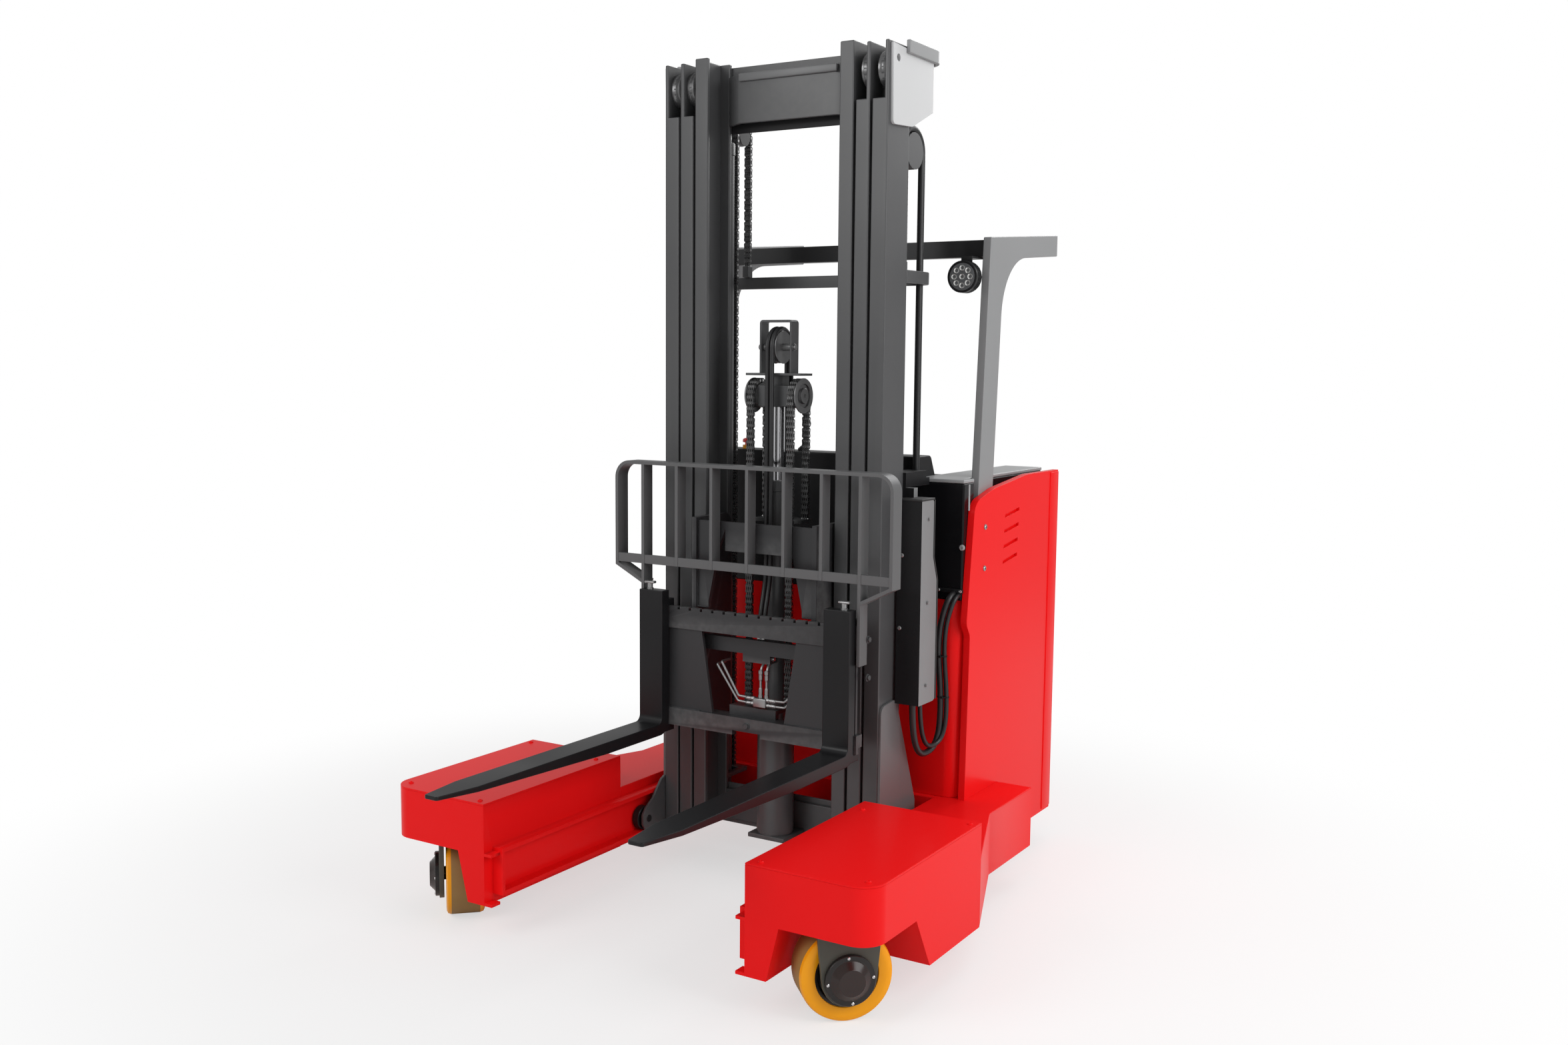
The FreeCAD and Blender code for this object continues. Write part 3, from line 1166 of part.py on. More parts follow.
def castor_fork():
    x, y, r = CASTOR_X, CASTOR_Y, CASTOR_R
    z = CASTOR_PLATE_LOW
    plate = drum(CASTOR_PLATE_R, Vector(x, y, z), BASE_LOW - SEAT - z, Z_AXIS)
    axle_y = y + CASTOR_TRAIL
    inside = CASTOR_W / 2 + CLEAR
    outside = inside + CASTOR_CHEEK_T
    cheek = side([(y - 40, z, 0), (y + 55, z, 0), (axle_y + 26, r, 0), (axle_y + 12, r - 24, 0),
                  (axle_y - 12, r - 24, 0), (axle_y - 26, r, 0)], x + inside, x + outside)
    other = cheek.copy()
    other.translate(Vector(-inside - outside, 0, 0))
    axle = cylinder(CASTOR_AXLE_R, Vector(x - inside, axle_y, r), 2 * inside, X_AXIS)
    return fuse([plate, axle, cheek, other])


def castor_wheel():
    start = Vector(CASTOR_X - CASTOR_W / 2, CASTOR_Y + CASTOR_TRAIL, CASTOR_R)
    return drum(CASTOR_R, start, CASTOR_W, X_AXIS, TYRE_SIDES).cut(
        cylinder(CASTOR_AXLE_R + SEAT, start, CASTOR_W, X_AXIS))


os.makedirs("parts", exist_ok=True)

for node, shape in (
        ("leg", leg()), ("leg_cover", leg_cover()), ("guard_side", guard_side()),
        ("outer_rail", outer_rail()), ("top_bracket", top_bracket()), ("foot_frame", foot_frame()),
        ("mid_rail", mid_rail()), ("inner_rail", inner_rail()), ("fork", fork()),
        ("wheel_bracket", wheel_bracket()), ("load_wheel", load_wheel())):
    save_pair(node, shape)

for node, shape in (
        ("side_panel_right", side_panel(SLOTS)), ("side_panel_left", mirrored(side_panel(0))),
        ("chassis_frame", chassis_frame()), ("battery_housing", battery_housing()), ("battery", battery()),
        ("hood", hood()), ("hood_lid", hood_lid()), ("console", console()), ("controls", controls()),
        ("rear_cabinet", rear_cabinet()), ("operator_floor", operator_floor()), ("lean_pad", lean_pad()),
        ("guard_bars", guard_bars()), ("work_lamp", work_lamp()),
        ("outer_cross", outer_cross()), ("upper_tie", upper_tie()), ("hose_cover", hose_cover()),
        ("lift_barrels", lift_barrels()),
        ("mid_cross", mid_cross()), ("inner_cross", inner_cross()), ("free_barrel", free_barrel()),
        ("rod_head", rod_head()), ("chain_sheaves", chain_sheaves()), ("free_chains", free_chains()),
        ("lift_chains", lift_chains()), ("pulley_hoses", pulley_hoses()), ("mast_hose", mast_hose()),
        ("loop_hoses", loop_hoses()),
        ("carriage", carriage()), ("backrest", backrest()), ("drive_unit", drive_unit()),
        ("drive_wheel", drive_wheel()), ("castor_fork", castor_fork()), ("castor_wheel", castor_wheel())):
    save(node, shape)
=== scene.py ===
"""A four-way stand-on reach truck, dressed for its picture.

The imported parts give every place. The script follows the truck as it is put together:
legs and chassis, wheels, body, operator's place, guard, mast, lift, carriage and forks,
chains and hoses, then floor, lamps and camera. Metres, +Z up, forks towards -Y."""
import contextlib
import json
import math

import bmesh
import bpy
from mathutils import Matrix, Vector


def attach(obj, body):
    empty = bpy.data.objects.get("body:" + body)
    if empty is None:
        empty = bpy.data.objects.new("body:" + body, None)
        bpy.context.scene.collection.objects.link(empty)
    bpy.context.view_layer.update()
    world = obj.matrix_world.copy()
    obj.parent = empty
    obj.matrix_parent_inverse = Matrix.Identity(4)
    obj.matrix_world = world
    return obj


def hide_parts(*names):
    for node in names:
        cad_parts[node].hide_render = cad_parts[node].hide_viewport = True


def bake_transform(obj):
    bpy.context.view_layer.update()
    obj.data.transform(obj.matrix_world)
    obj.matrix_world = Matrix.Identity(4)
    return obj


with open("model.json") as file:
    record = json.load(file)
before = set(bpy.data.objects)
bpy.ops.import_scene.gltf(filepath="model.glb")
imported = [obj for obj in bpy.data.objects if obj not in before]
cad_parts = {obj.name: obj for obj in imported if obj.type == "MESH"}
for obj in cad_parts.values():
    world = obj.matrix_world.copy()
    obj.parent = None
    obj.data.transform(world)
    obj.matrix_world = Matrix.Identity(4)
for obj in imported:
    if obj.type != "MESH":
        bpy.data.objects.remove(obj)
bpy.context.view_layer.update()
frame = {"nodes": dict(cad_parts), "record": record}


# Legs and chassis. The straddle legs, their thin covers and the chassis are welded steel
# boxes. They are sprayed in one glossy red with a faint orange peel, and each folded edge
# is slightly round and catches the light.
RED = (0.86, 0.008, 0.009)
LEG_EDGE = 0.004
COVER_EDGE = 0.0015
SMOOTH_ANGLE = math.radians(32)
EDGE_ANGLE = math.radians(35)

body_of_node = {}
for body, nodes in frame["record"]["behaviour"]["bodies"].items():
    for node in nodes:
        body_of_node[node] = body


def only(*objects):
    """Selects these objects alone, the last one active."""
    bpy.ops.object.select_all(action="DESELECT")
    for item in objects:
        item.select_set(True)
        bpy.context.view_layer.objects.active = item


def fill(tree, node, values):
    """Fills a node's inputs with numbers and colours, or links them from other nodes."""
    for entry, value in values.items():
        if isinstance(value, bpy.types.NodeSocket):
            tree.links.new(value, node.inputs[entry])
        else:
            node.inputs[entry].default_value = value
    return node


def new_node(tree, kind, values=None, **settings):
    """A shader node with its settings made and its inputs filled."""
    node = tree.nodes.new("ShaderNode" + kind)
    for label, value in settings.items():
        setattr(node, label, value)
    return fill(tree, node, values or {})


def reckon(tree, operation, *values):
    """The output of a math node fed with sockets and numbers."""
    return new_node(tree, "Math", dict(enumerate(values)), operation=operation).outputs[0]


def new_group(name, inputs, outputs):
    """An empty shader node group with its named sockets."""
    group = bpy.data.node_groups.new(name, "ShaderNodeTree")
    for way, sockets in (("INPUT", inputs), ("OUTPUT", outputs)):
        for label, kind in sockets.items():
            group.interface.new_socket(label, in_out=way, socket_type="NodeSocket" + kind)
    return group, group.nodes.new("NodeGroupInput"), group.nodes.new("NodeGroupOutput")


def noise(group, scale, detail):
    """The value of a noise texture on object coordinates."""
    where = new_node(group, "TexCoord")
    grain = new_node(group, "TexNoise", {"Detail": detail, "Scale": scale, "Vector": where.outputs["Object"]})
    return grain.outputs["Fac"]


def relief_group():
    """The fine waves of sprayed paint, or the grain of a moulding, as a height."""
    group, start, end = new_group("surface_relief", {"Scale": "Float"}, {"Height": "Float"})
    fill(group, end, {"Height": noise(group, start.outputs["Scale"], 1.5)})
    return group


def gloss_group():
    """An uneven gloss: wide soft smears."""
    group, start, end = new_group("uneven_gloss", {"Low": "Float", "High": "Float"}, {"Roughness": "Float"})
    spread = new_node(group, "MapRange", {"Value": noise(group, 2.6, 1.0), "From Min": 0.2, "From Max": 0.8,
                                          "To Min": start.outputs["Low"], "To Max": start.outputs["High"]},
                      interpolation_type="SMOOTHSTEP")
    fill(group, end, {"Roughness": spread.outputs["Result"]})
    return group


def tint_group():
    """A colour that drifts a little over the surface and is scuffed on sharp edges."""
    group, start, end = new_group("drift_and_scuff", {"Colour": "Color", "Scuffed": "Color", "Drift": "Float",
                                                      "Scuff": "Float"}, {"Colour": "Color"})
    centre = reckon(group, "SUBTRACT", noise(group, 1.7, 1.0), 0.5)
    level = reckon(group, "MULTIPLY_ADD", centre, start.outputs["Drift"], 1.0)
    shade = new_node(group, "HueSaturation", {"Value": level, "Color": start.outputs["Colour"]})
    shape = new_node(group, "NewGeometry")
    edge = new_node(group, "MapRange", {"Value": shape.outputs["Pointiness"], "From Min": 0.54,
                                        "From Max": 0.66})
    broken = reckon(group, "MULTIPLY", edge.outputs["Result"], noise(group, 38.0, 3.0))
    amount = reckon(group, "MULTIPLY", broken, start.outputs["Scuff"])
    amount.node.use_clamp = True
    mix = new_node(group, "Mix", {"Factor": amount, "A": shade.outputs["Color"],
                                  "B": start.outputs["Scuffed"]}, data_type="RGBA")
    fill(group, end, {"Colour": mix.outputs["Result"]})
    return group


relief_nodes = relief_group()
gloss_nodes = gloss_group()
tint_nodes = tint_group()


def finish(name, colour, gloss, metallic=0.0, coat=0.0, relief=0.00012, scale=160.0, scuffed=None, scuff=0.6,
           drift=0.12, shine=0.5):
    """A surface finish from the three groups. gloss is the lowest and the highest roughness."""
    material = bpy.data.materials.new(name)
    material.use_nodes = True
    tree = material.node_tree
    tint = new_node(tree, "Group", node_tree=tint_nodes)
    fill(tree, tint, {"Colour": (*colour, 1.0), "Scuffed": (*(scuffed or colour), 1.0), "Drift": drift,
                      "Scuff": scuff if scuffed else 0.0})
    smears = new_node(tree, "Group", {"Low": gloss[0], "High": gloss[1]}, node_tree=gloss_nodes)
    grain = new_node(tree, "Group", {"Scale": scale}, node_tree=relief_nodes)
    bump = new_node(tree, "Bump", {"Distance": relief, "Strength": 0.7, "Height": grain.outputs["Height"]})
    fill(tree, tree.nodes["Principled BSDF"],
         {"Metallic": metallic, "Specular IOR Level": shine, "Coat Weight": coat, "Coat Roughness": 0.06,
          "Base Color": tint.outputs["Colour"], "Roughness": smears.outputs["Roughness"],
          "Normal": bump.outputs["Normal"]})
    return material


@contextlib.contextmanager
def whole_mesh():
    """Edit mode on the active piece, with all of it selected."""
    bpy.ops.object.mode_set(mode="EDIT")
    bpy.ops.mesh.select_all(action="SELECT")
    yield
    bpy.ops.object.mode_set(mode="OBJECT")


def weigh_outward_edges(piece):
    """Marks the edges that point outwards. Only they are rounded, so inner corners stay true."""
    shape = bmesh.new()
    shape.from_mesh(piece.data)
    weight = shape.edges.layers.float.new("bevel_weight_edge")
    for line in shape.edges:
        if line.is_manifold and line.calc_face_angle_signed() > EDGE_ANGLE:
            line[weight] = 1.0
    shape.to_mesh(piece.data)
    shape.free()


def settled(piece, move, node=None):
    """Lets a piece ride a body, or fixes it where it lies, and hides the CAD part it stands in for, if one is
    given.
    """
    if isinstance(move, str):
        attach(piece, move)
    else:
        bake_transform(piece)
    if node:
        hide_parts(node)
    return piece


def worked_copy(node, edge, material, turns=2):
    """A copy of a CAD piece with its triangles merged and its edges rounded."""
    source = frame["nodes"][node]
    copy = source.copy()
    copy.data = source.data.copy()
    copy.name = node + "_finished"
    bpy.context.collection.objects.link(copy)
    copy.data.materials.clear()
    copy.data.materials.append(material)
    only(copy)
    with whole_mesh():
        bpy.ops.mesh.remove_doubles(threshold=0.00002)
        bpy.ops.mesh.dissolve_limited(angle_limit=math.radians(0.5))
    if edge:
        weigh_outward_edges(copy)
        rounding = copy.modifiers.new("edges", "BEVEL")
        rounding.width = edge
        rounding.segments = turns
        rounding.limit_method = "WEIGHT"
        rounding.miter_outer = "MITER_ARC"
        bpy.ops.object.modifier_apply(modifier="edges")
    bpy.ops.object.shade_smooth_by_angle(angle=SMOOTH_ANGLE)
    flat = copy.modifiers.new("flat_faces", "WEIGHTED_NORMAL")
    flat.keep_sharp = True
    bpy.ops.object.modifier_apply(modifier="flat_faces")
    return settled(copy, body_of_node[node], node)


red_paint = finish("red_paint", RED, (0.28, 0.28), coat=0.03, drift=0.0, shine=0.08)
for side in ("left", "right"):
    worked_copy("leg_" + side, LEG_EDGE, red_paint)
    worked_copy("leg_cover_" + side, COVER_EDGE, red_paint)
worked_copy("chassis_frame", LEG_EDGE, red_paint)


# Cover screws. Each leg cover is held by flush button-head screws near its corners. They
# are sprayed over in the same red, so that only their rims and sockets show.
COVER_TOP = 0.441
COVER_SCREW_R = 0.0085
COVER_SCREW_PLACES = ((0.529, -0.813), (0.858, -0.789), (0.533, -0.228), (0.877, -0.178))


def facing(place, way):
    """The matrix that takes a piece made along +X at the origin to a place and a direction."""
    turn = Vector(way).to_track_quat("X", "Z").to_matrix().to_4x4()
    return Matrix.Translation(Vector(place)) @ turn


def dressed(piece, material, move, node=None):
    """Gives a new piece its material and smooth shading, and settles it on its body."""
    piece.data.materials.clear()
    piece.data.materials.append(material)
    only(piece)
    bpy.ops.object.shade_smooth_by_angle(angle=SMOOTH_ANGLE)
    return settled(piece, move, node)


def joined(name, *pieces):
    """Joins pieces into the last of them, under one name."""
    only(*pieces)
    if len(pieces) > 1:
        bpy.ops.object.join()
    bpy.context.object.name = name
    return bpy.context.object


def placed(name, data):
    """A new object in the scene with this data."""
    piece = bpy.data.objects.new(name, data)
    bpy.context.collection.objects.link(piece)
    return piece


def spun(name, profile, steps=48):
    """A turned piece: a (radius, along) profile spun about the X axis, at the origin."""
    mesh = bpy.data.meshes.new(name)
    closed = profile[0] == profile[-1]
    line = profile[:-1] if closed else profile
    edges = [(i, i + 1) for i in range(len(line) - 1)] + ([(len(line) - 1, 0)] if closed else [])
    mesh.from_pydata([(along, 0.0, radius) for radius, along in line], edges, [])
    piece = placed(name, mesh)
    only(piece)
    with whole_mesh():
        bpy.ops.mesh.spin(steps=steps, angle=2 * math.pi, center=(0, 0, 0), axis=(1, 0, 0))
        bpy.ops.mesh.select_all(action="SELECT")
        bpy.ops.mesh.remove_doubles(threshold=0.00001)
        bpy.ops.mesh.normals_make_consistent(inside=False)
    return piece


def turned(name, profile, place, material, move, node=None, steps=48):
    """A turned piece at its place, dressed."""
    piece = spun(name, profile, steps)
    piece.data.transform(place)
    return dressed(piece, material, move, node)


def button_head(radius):
    """A low round screw head with a hexagonal socket, made along +X."""
    r = radius
    return spun("head", [(0.0, r * 0.28), (r * 0.34, r * 0.28), (r * 0.36, r * 0.52), (r * 0.62, r * 0.56),
                         (r * 0.92, r * 0.34), (r, r * 0.12), (r, -r * 0.1), (0.0, -r * 0.1)], 24)


def stick(sides, radius, length, middle=0.0):
    """A rod along the X axis, round or with a few sides, its middle at a place on the axis."""
    bpy.ops.mesh.primitive_cylinder_add(vertices=sides, radius=radius, depth=length, location=(middle, 0, 0),
                                        rotation=(0, math.pi / 2, 0))
    bpy.ops.object.transform_apply(location=True, rotation=True, scale=True)
    return bpy.context.object


def rounded(piece, width, segments=1):
    """The active piece with its edges rounded, or chamfered where there is one segment."""
    edges = piece.modifiers.new("edges", "BEVEL")
    edges.width = width
    edges.segments = segments
    bpy.ops.object.modifier_apply(modifier="edges")
    return piece


def hex_head(radius):
    """A hexagonal bolt head on its washer, made along +X."""
    washer = spun("washer", [(0.0, 0.0), (radius * 1.35, 0.0), (radius * 1.35, radius * 0.2),
                             (radius * 1.25, radius * 0.26), (0.0, radius * 0.26)], 24)
    head = rounded(stick(6, radius, radius * 0.7, radius * 0.6), radius * 0.09)
    return joined("hex_head", head, washer)


def fasteners(name, model, places, material, body):
    """Copies of one screw, each at its (place, direction), joined into one piece."""
    heads = []
    for place, way in places:
        head = placed(name, model.data.copy())
        head.data.transform(facing(place, way))
        heads.append(head)
    bpy.data.objects.remove(model)
    return dressed(joined(name, *heads), material, body)


UP = (0, 0, 1)
fasteners("cover_screws", button_head(COVER_SCREW_R),
          [((sign * x, y, COVER_TOP), UP) for sign in (1, -1) for x, y in COVER_SCREW_PLACES],
          red_paint, "chassis")


# Load wheels. A cast hub carries a thick tyre of cast polyurethane with round shoulders.
# It turns on a one-sided steel bracket, behind a black cover with four screws and a cap.
TYRE_YELLOW = (0.90, 0.36, 0.004)
TYRE_DIRTY = (0.28, 0.17, 0.05)
BRACKET_GREEN = (0.072, 0.072, 0.058)
HUB_BLACK = (0.016, 0.014, 0.013)
CAP_BROWN = (0.022, 0.012, 0.010)
STEEL = (0.62, 0.62, 0.62)
DULL_STEEL = (0.36, 0.36, 0.36)
CAP_R = 0.0575
WHEEL_X = 0.721
WHEEL_Y = -0.687
WHEEL_R = 0.135
WHEEL_HALF = 0.062
RIM_R = 0.091
HUB_FACE = 0.084        # the bracket's outer face, from the wheel's middle

tyre_yellow = finish("tyre_yellow", TYRE_YELLOW, (0.28, 0.45), coat=0.05, relief=0.0003, scale=90.0,
                     scuffed=TYRE_DIRTY, scuff=0.5, drift=0.2, shine=0.25)
tread_dirty = finish("tread_dirty", TYRE_DIRTY, (0.5, 0.75), relief=0.0006, scale=60.0, drift=0.6)
bracket_green = finish("bracket_green", BRACKET_GREEN, (0.35, 0.5), scuffed=(0.3, 0.3, 0.28), shine=0.3)
hub_black = finish("hub_black", HUB_BLACK, (0.22, 0.36), coat=0.05, shine=0.35)
cap_brown = finish("cap_brown", CAP_BROWN, (0.16, 0.28), coat=0.05, shine=0.4)
dull_steel = finish("dull_steel", DULL_STEEL, (0.28, 0.42), metallic=0.9, relief=0.00005, drift=0.05)
bright_steel = finish("bright_steel", STEEL, (0.18, 0.32), metallic=1.0, relief=0.00005, drift=0.05)
TYRE_PROFILE = [(RIM_R, -0.050), (RIM_R + 0.002, -0.058), (0.112, -WHEEL_HALF), (0.124, -0.0610),
                (0.1315, -0.0565), (WHEEL_R, -0.046), (WHEEL_R, 0.046), (0.1315, 0.0565), (0.124, 0.0610),
                (0.112, WHEEL_HALF), (RIM_R + 0.002, 0.058), (RIM_R, 0.050), (RIM_R, -0.050)]
RIM_PROFILE = [(0.0232, -0.040), (0.040, -0.040), (0.044, -0.030), (0.078, -0.030), (0.084, -0.052),
               (0.0935, -0.054), (0.0935, 0.054), (0.084, 0.052), (0.078, 0.030), (0.044, 0.030),
               (0.040, 0.040), (0.0232, 0.040), (0.0232, -0.040)]
HUB_PROFILE = [(0.0, 0.0), (0.0730, 0.0), (0.0730, 0.0115), (0.0715, 0.0130), (0.0585, 0.0130),
               (0.0560, 0.0140), (0.0395, 0.0298), (0.0380, 0.0308), (0.0, 0.0308)]
FLANGE_H = 0.013        # the hub cover's flange, and the ring of its screws
SCREW_RING = 0.0655
FIRST_SCREW = 0.1
TREAD_LEAN = 0.12       # a face of the tyre that leans less than this to the side is tread

for side, x, turn in (("right", WHEEL_X, -45), ("left", -WHEEL_X, 225)):
    place = Matrix.Translation((x, WHEEL_Y, WHEEL_R)) @ Matrix.Rotation(math.radians(turn), 4, "Z")
    out = place.to_3x3() @ Vector((1, 0, 0))
    middle = Vector((x, WHEEL_Y, WHEEL_R))
    wheel = "load_wheel_" + side
    tyre = turned("tyre_" + side, TYRE_PROFILE, place, tyre_yellow, wheel, wheel, 72)
    tyre.data.materials.append(tread_dirty)
    for face in tyre.data.polygons:
        sideways = abs((place.to_3x3().inverted() @ face.normal).x)
        tread = sideways < TREAD_LEAN and (face.center - middle).length > RIM_R + 0.02
        face.material_index = 1 if tread else 0
    turned("wheel_rim_" + side, RIM_PROFILE, place, hub_black, wheel, steps=72)

    worked_copy("wheel_bracket_" + side, 0.002, bracket_green)
    body = "steer_" + side
    cover = turned("hub_cover_" + side, HUB_PROFILE, facing(middle + out * HUB_FACE, out), hub_black, body,
                   steps=64)
    cover.data.materials.append(cap_brown)
    for face in cover.data.polygons:
        spread = face.center - middle
        reach = (spread - out * spread.dot(out)).length
        face.material_index = 1 if reach < CAP_R and spread.dot(out) > HUB_FACE + FLANGE_H + 0.0002 else 0
    lift = Vector((0, 0, 1))
    across = out.cross(lift)
    turns = [FIRST_SCREW + quarter * math.pi / 2 for quarter in (0, 1, 2, -1)]
    ways = [lift * math.cos(a) + across * math.sin(a) for a in turns]
    fasteners("hub_screws_" + side, button_head(0.0048),
              [(middle + out * (HUB_FACE + FLANGE_H) + way * SCREW_RING, out) for way in ways],
              bright_steel, body)


# Drive unit and castor. The drive motor hangs on its slewing ring in the well, with its
# wheel beside the gear case. A swivelling castor stands under the operator's side.
BLACK = (0.010, 0.010, 0.011)
DRIVE_WHEEL_AT = (0.320, 0.951, 0.172)
CASTOR_AT = (-0.330, 0.996, 0.075)

black_steel = finish("black_steel", BLACK, (0.30, 0.42), scuffed=(0.10, 0.10, 0.10), scuff=0.5, shine=0.25)
tyre_black = finish("tyre_black", (0.018, 0.018, 0.018), (0.5, 0.7), relief=0.0004, scale=70.0, drift=0.4)
for node in ("drive_unit", "castor_fork"):
    worked_copy(node, 0.002, black_steel)
for node, place, r, half, bore in (("drive_wheel", DRIVE_WHEEL_AT, 0.172, 0.065, 0.0304),
                                   ("castor_wheel", CASTOR_AT, 0.075, 0.032, 0.0104)):
    profile = [(bore, -half * 0.8), (r * 0.62, -half * 0.8), (r * 0.68, -half * 0.96), (r * 0.9, -half),
               (r * 0.975, -half * 0.93), (r, -half * 0.7), (r, half * 0.7), (r * 0.975, half * 0.93),
               (r * 0.9, half), (r * 0.68, half * 0.96), (r * 0.62, half * 0.8), (bore, half * 0.8),
               (bore, -half * 0.8)]
    turned(node + "_tyre", profile, Matrix.Translation(place), tyre_black, node, node, 64)


# Body panels. The battery cover is deep drawn with round corners, and the side panels are
# pressed sheet with slots for air on the near side. All are red, with a rear corner post.
SIDES = ((1, "right"), (-1, "left"))
PANEL_X = 600           # truck millimetres, as in the CAD source
CORNER_LOW = (PANEL_X - 2, 1943, 110)
CORNER_HIGH = (PANEL_X + 3, 2023, 1426)
PANEL_BOLTS = ((1348, 1270.5), (1348, 1125.6))
ORIGIN_Y = 839          # millimetres from the legs' front ends back to the frame's origin


def at(x, y, z):
    """A place in the truck's own millimetres, as a place in the frame."""
    return Vector((x, y - ORIGIN_Y, z)) / 1000


def block(name, low, high, edge, turns=3):
    """A block between two corners in truck millimetres, with its edges rounded."""
    bpy.ops.mesh.primitive_cube_add(size=1.0)
    piece = bpy.context.object
    piece.name = name
    a, b = at(*low), at(*high)
    piece.data.transform(Matrix.Translation((a + b) / 2) @ Matrix.Diagonal((*(b - a), 1.0)))
    return rounded(piece, edge / 1000, turns)


def aside(sign, x, y, z):
    """A place on the right (1) or the left (-1) of the truck, and the way outwards there."""
    return at(sign * x, y, z), (sign, 0, 0)


def mirrored(low, high, sign):
    """The same two corners on the right (1) or on the left (-1) of the truck."""
    across = sorted((sign * low[0], sign * high[0]))
    return (across[0], *low[1:]), (across[1], *high[1:])


for node in ("side_panel_left", "side_panel_right", "battery_housing", "rear_cabinet"):
    worked_copy(node, 0.004, red_paint, 3)
for sign, side in SIDES:
    post = block("rear_corner_" + side, *mirrored(CORNER_LOW, CORNER_HIGH, sign), 2)
    dressed(post, red_paint, "chassis")
    cups = [aside(sign, PANEL_X - 0.5, y, z) for y, z in PANEL_BOLTS]
    fasteners("panel_bolts_" + side, button_head(0.010), cups, dull_steel, "chassis")


# Hood and battery. The electrics box and the console are black moulded covers. The lid over
# the electrics is light gray, with a small flap at its corner and a latch bar in front.
HOOD_BLACK = (0.007, 0.007, 0.008)
LID_GRAY = (0.32, 0.325, 0.33)
HOOD_FACE = 1222
LATCH_LOW = (483, HOOD_FACE - 7, 1051)
LATCH_HIGH = (580, HOOD_FACE + 1, 1065)
KNOB_AT = (572, HOOD_FACE, 1209)
FLAP_LOW = (592, HOOD_FACE - 3, 1337)
FLAP_HIGH = (596, HOOD_FACE + 5, 1426)

hood_black = finish("hood_black", HOOD_BLACK, (0.14, 0.26), coat=0.1, relief=0.0002, scale=60.0, shine=0.2)
grained_black = finish("grained_black", (0.010, 0.010, 0.011), (0.38, 0.5), relief=0.0004, scale=420.0,
                       shine=0.25)
lid_gray = finish("lid_gray", LID_GRAY, (0.3, 0.42), scuffed=(0.2, 0.2, 0.2))
worked_copy("hood", 0.006, hood_black, 3)
worked_copy("console", 0.005, grained_black, 3)
worked_copy("hood_lid", 0.0035, lid_gray, 3)
worked_copy("battery", 0.006, grained_black)
dressed(block("hood_latch", LATCH_LOW, LATCH_HIGH, 2.5), black_steel, "chassis")
fasteners("hood_screws", button_head(0.0058),
          [(at(x, LATCH_LOW[1], 1058), (0, -1, 0)) for x in (LATCH_LOW[0] + 8, LATCH_HIGH[0] - 8)],
          bright_steel, "chassis")
fasteners("hood_knob", button_head(0.0105), [(at(*KNOB_AT), (0, -1, 0))], lid_gray, "chassis")
dressed(block("lid_flap", FLAP_LOW, FLAP_HIGH, 1.5), lid_gray, "chassis")


# Operator's controls. The emergency stop is a red mushroom on a yellow collar. Beside it
# stand the mast lever with its knob and the small steering wheel in the console's tray.
CONSOLE_TOP = 1512
STOP_AT = (-331, 1268)
LEVER_AT = (-94, 1268)
STEER_AT = (-240, 1460, 1470)
STEER_R = 0.086
STEER_RIM = 0.011
SPOKE_R = 0.0065

stop_red = finish("stop_red", (0.72, 0.012, 0.01), (0.2, 0.3), coat=0.3)
stop_place = facing(at(*STOP_AT, CONSOLE_TOP), UP)
turned("stop_collar", [(0.0, -0.002), (0.021, -0.002), (0.021, 0.012), (0.0205, 0.0135), (0.0, 0.0135)],
       stop_place, tyre_yellow, "chassis", steps=40)
turned("stop_button",
       [(0.0, 0.0135), (0.0125, 0.0135), (0.0125, 0.022), (0.0205, 0.0235), (0.0212, 0.030), (0.0195, 0.0355),
        (0.013, 0.0388), (0.0, 0.040)], stop_place, stop_red, "chassis")
turned("mast_lever",
       [(0.0, -0.002), (0.019, -0.002), (0.0185, 0.006), (0.013, 0.013), (0.0075, 0.019), (0.0055, 0.030),
        (0.0050, 0.078), (0.0095, 0.086), (0.0145, 0.094), (0.0150, 0.104), (0.0110, 0.113), (0.0, 0.1165)],
       facing(at(*LEVER_AT, CONSOLE_TOP), (0.17, 0.0, 1.0)), hood_black, "chassis", steps=32)
steer_at = at(*STEER_AT)
bpy.ops.mesh.primitive_torus_add(major_radius=STEER_R, minor_radius=STEER_RIM, major_segments=64,
                                 minor_segments=16, location=steer_at)
rim = bpy.context.object
bpy.ops.object.transform_apply(location=True, rotation=True, scale=True)
boss = spun("boss", [(0.0, -0.034), (0.024, -0.034), (0.026, -0.008), (0.030, 0.0), (0.026, 0.010),
                     (0.0, 0.014)], 32)
boss.data.transform(facing(steer_at, UP))
spokes = []
for turn in (90, 210, 330):
    spoke = stick(12, SPOKE_R, STEER_R, STEER_R / 2)
    spoke.data.transform(Matrix.Translation(steer_at) @ Matrix.Rotation(math.radians(turn), 4, "Z"))
    spokes.append(spoke)
dressed(joined("steering_wheel", rim, *spokes, boss), grained_black, "chassis", "controls")


# Operator's stand. A black step with a ribbed rubber mat lies between the panels, and a
# padded rest covered in grained vinyl is fixed to the cabinet behind the operator.
MAT_LOW = (-560, 1622, 286)
MAT_HIGH = (28, 1998, 292)
MAT_RIBS = 24

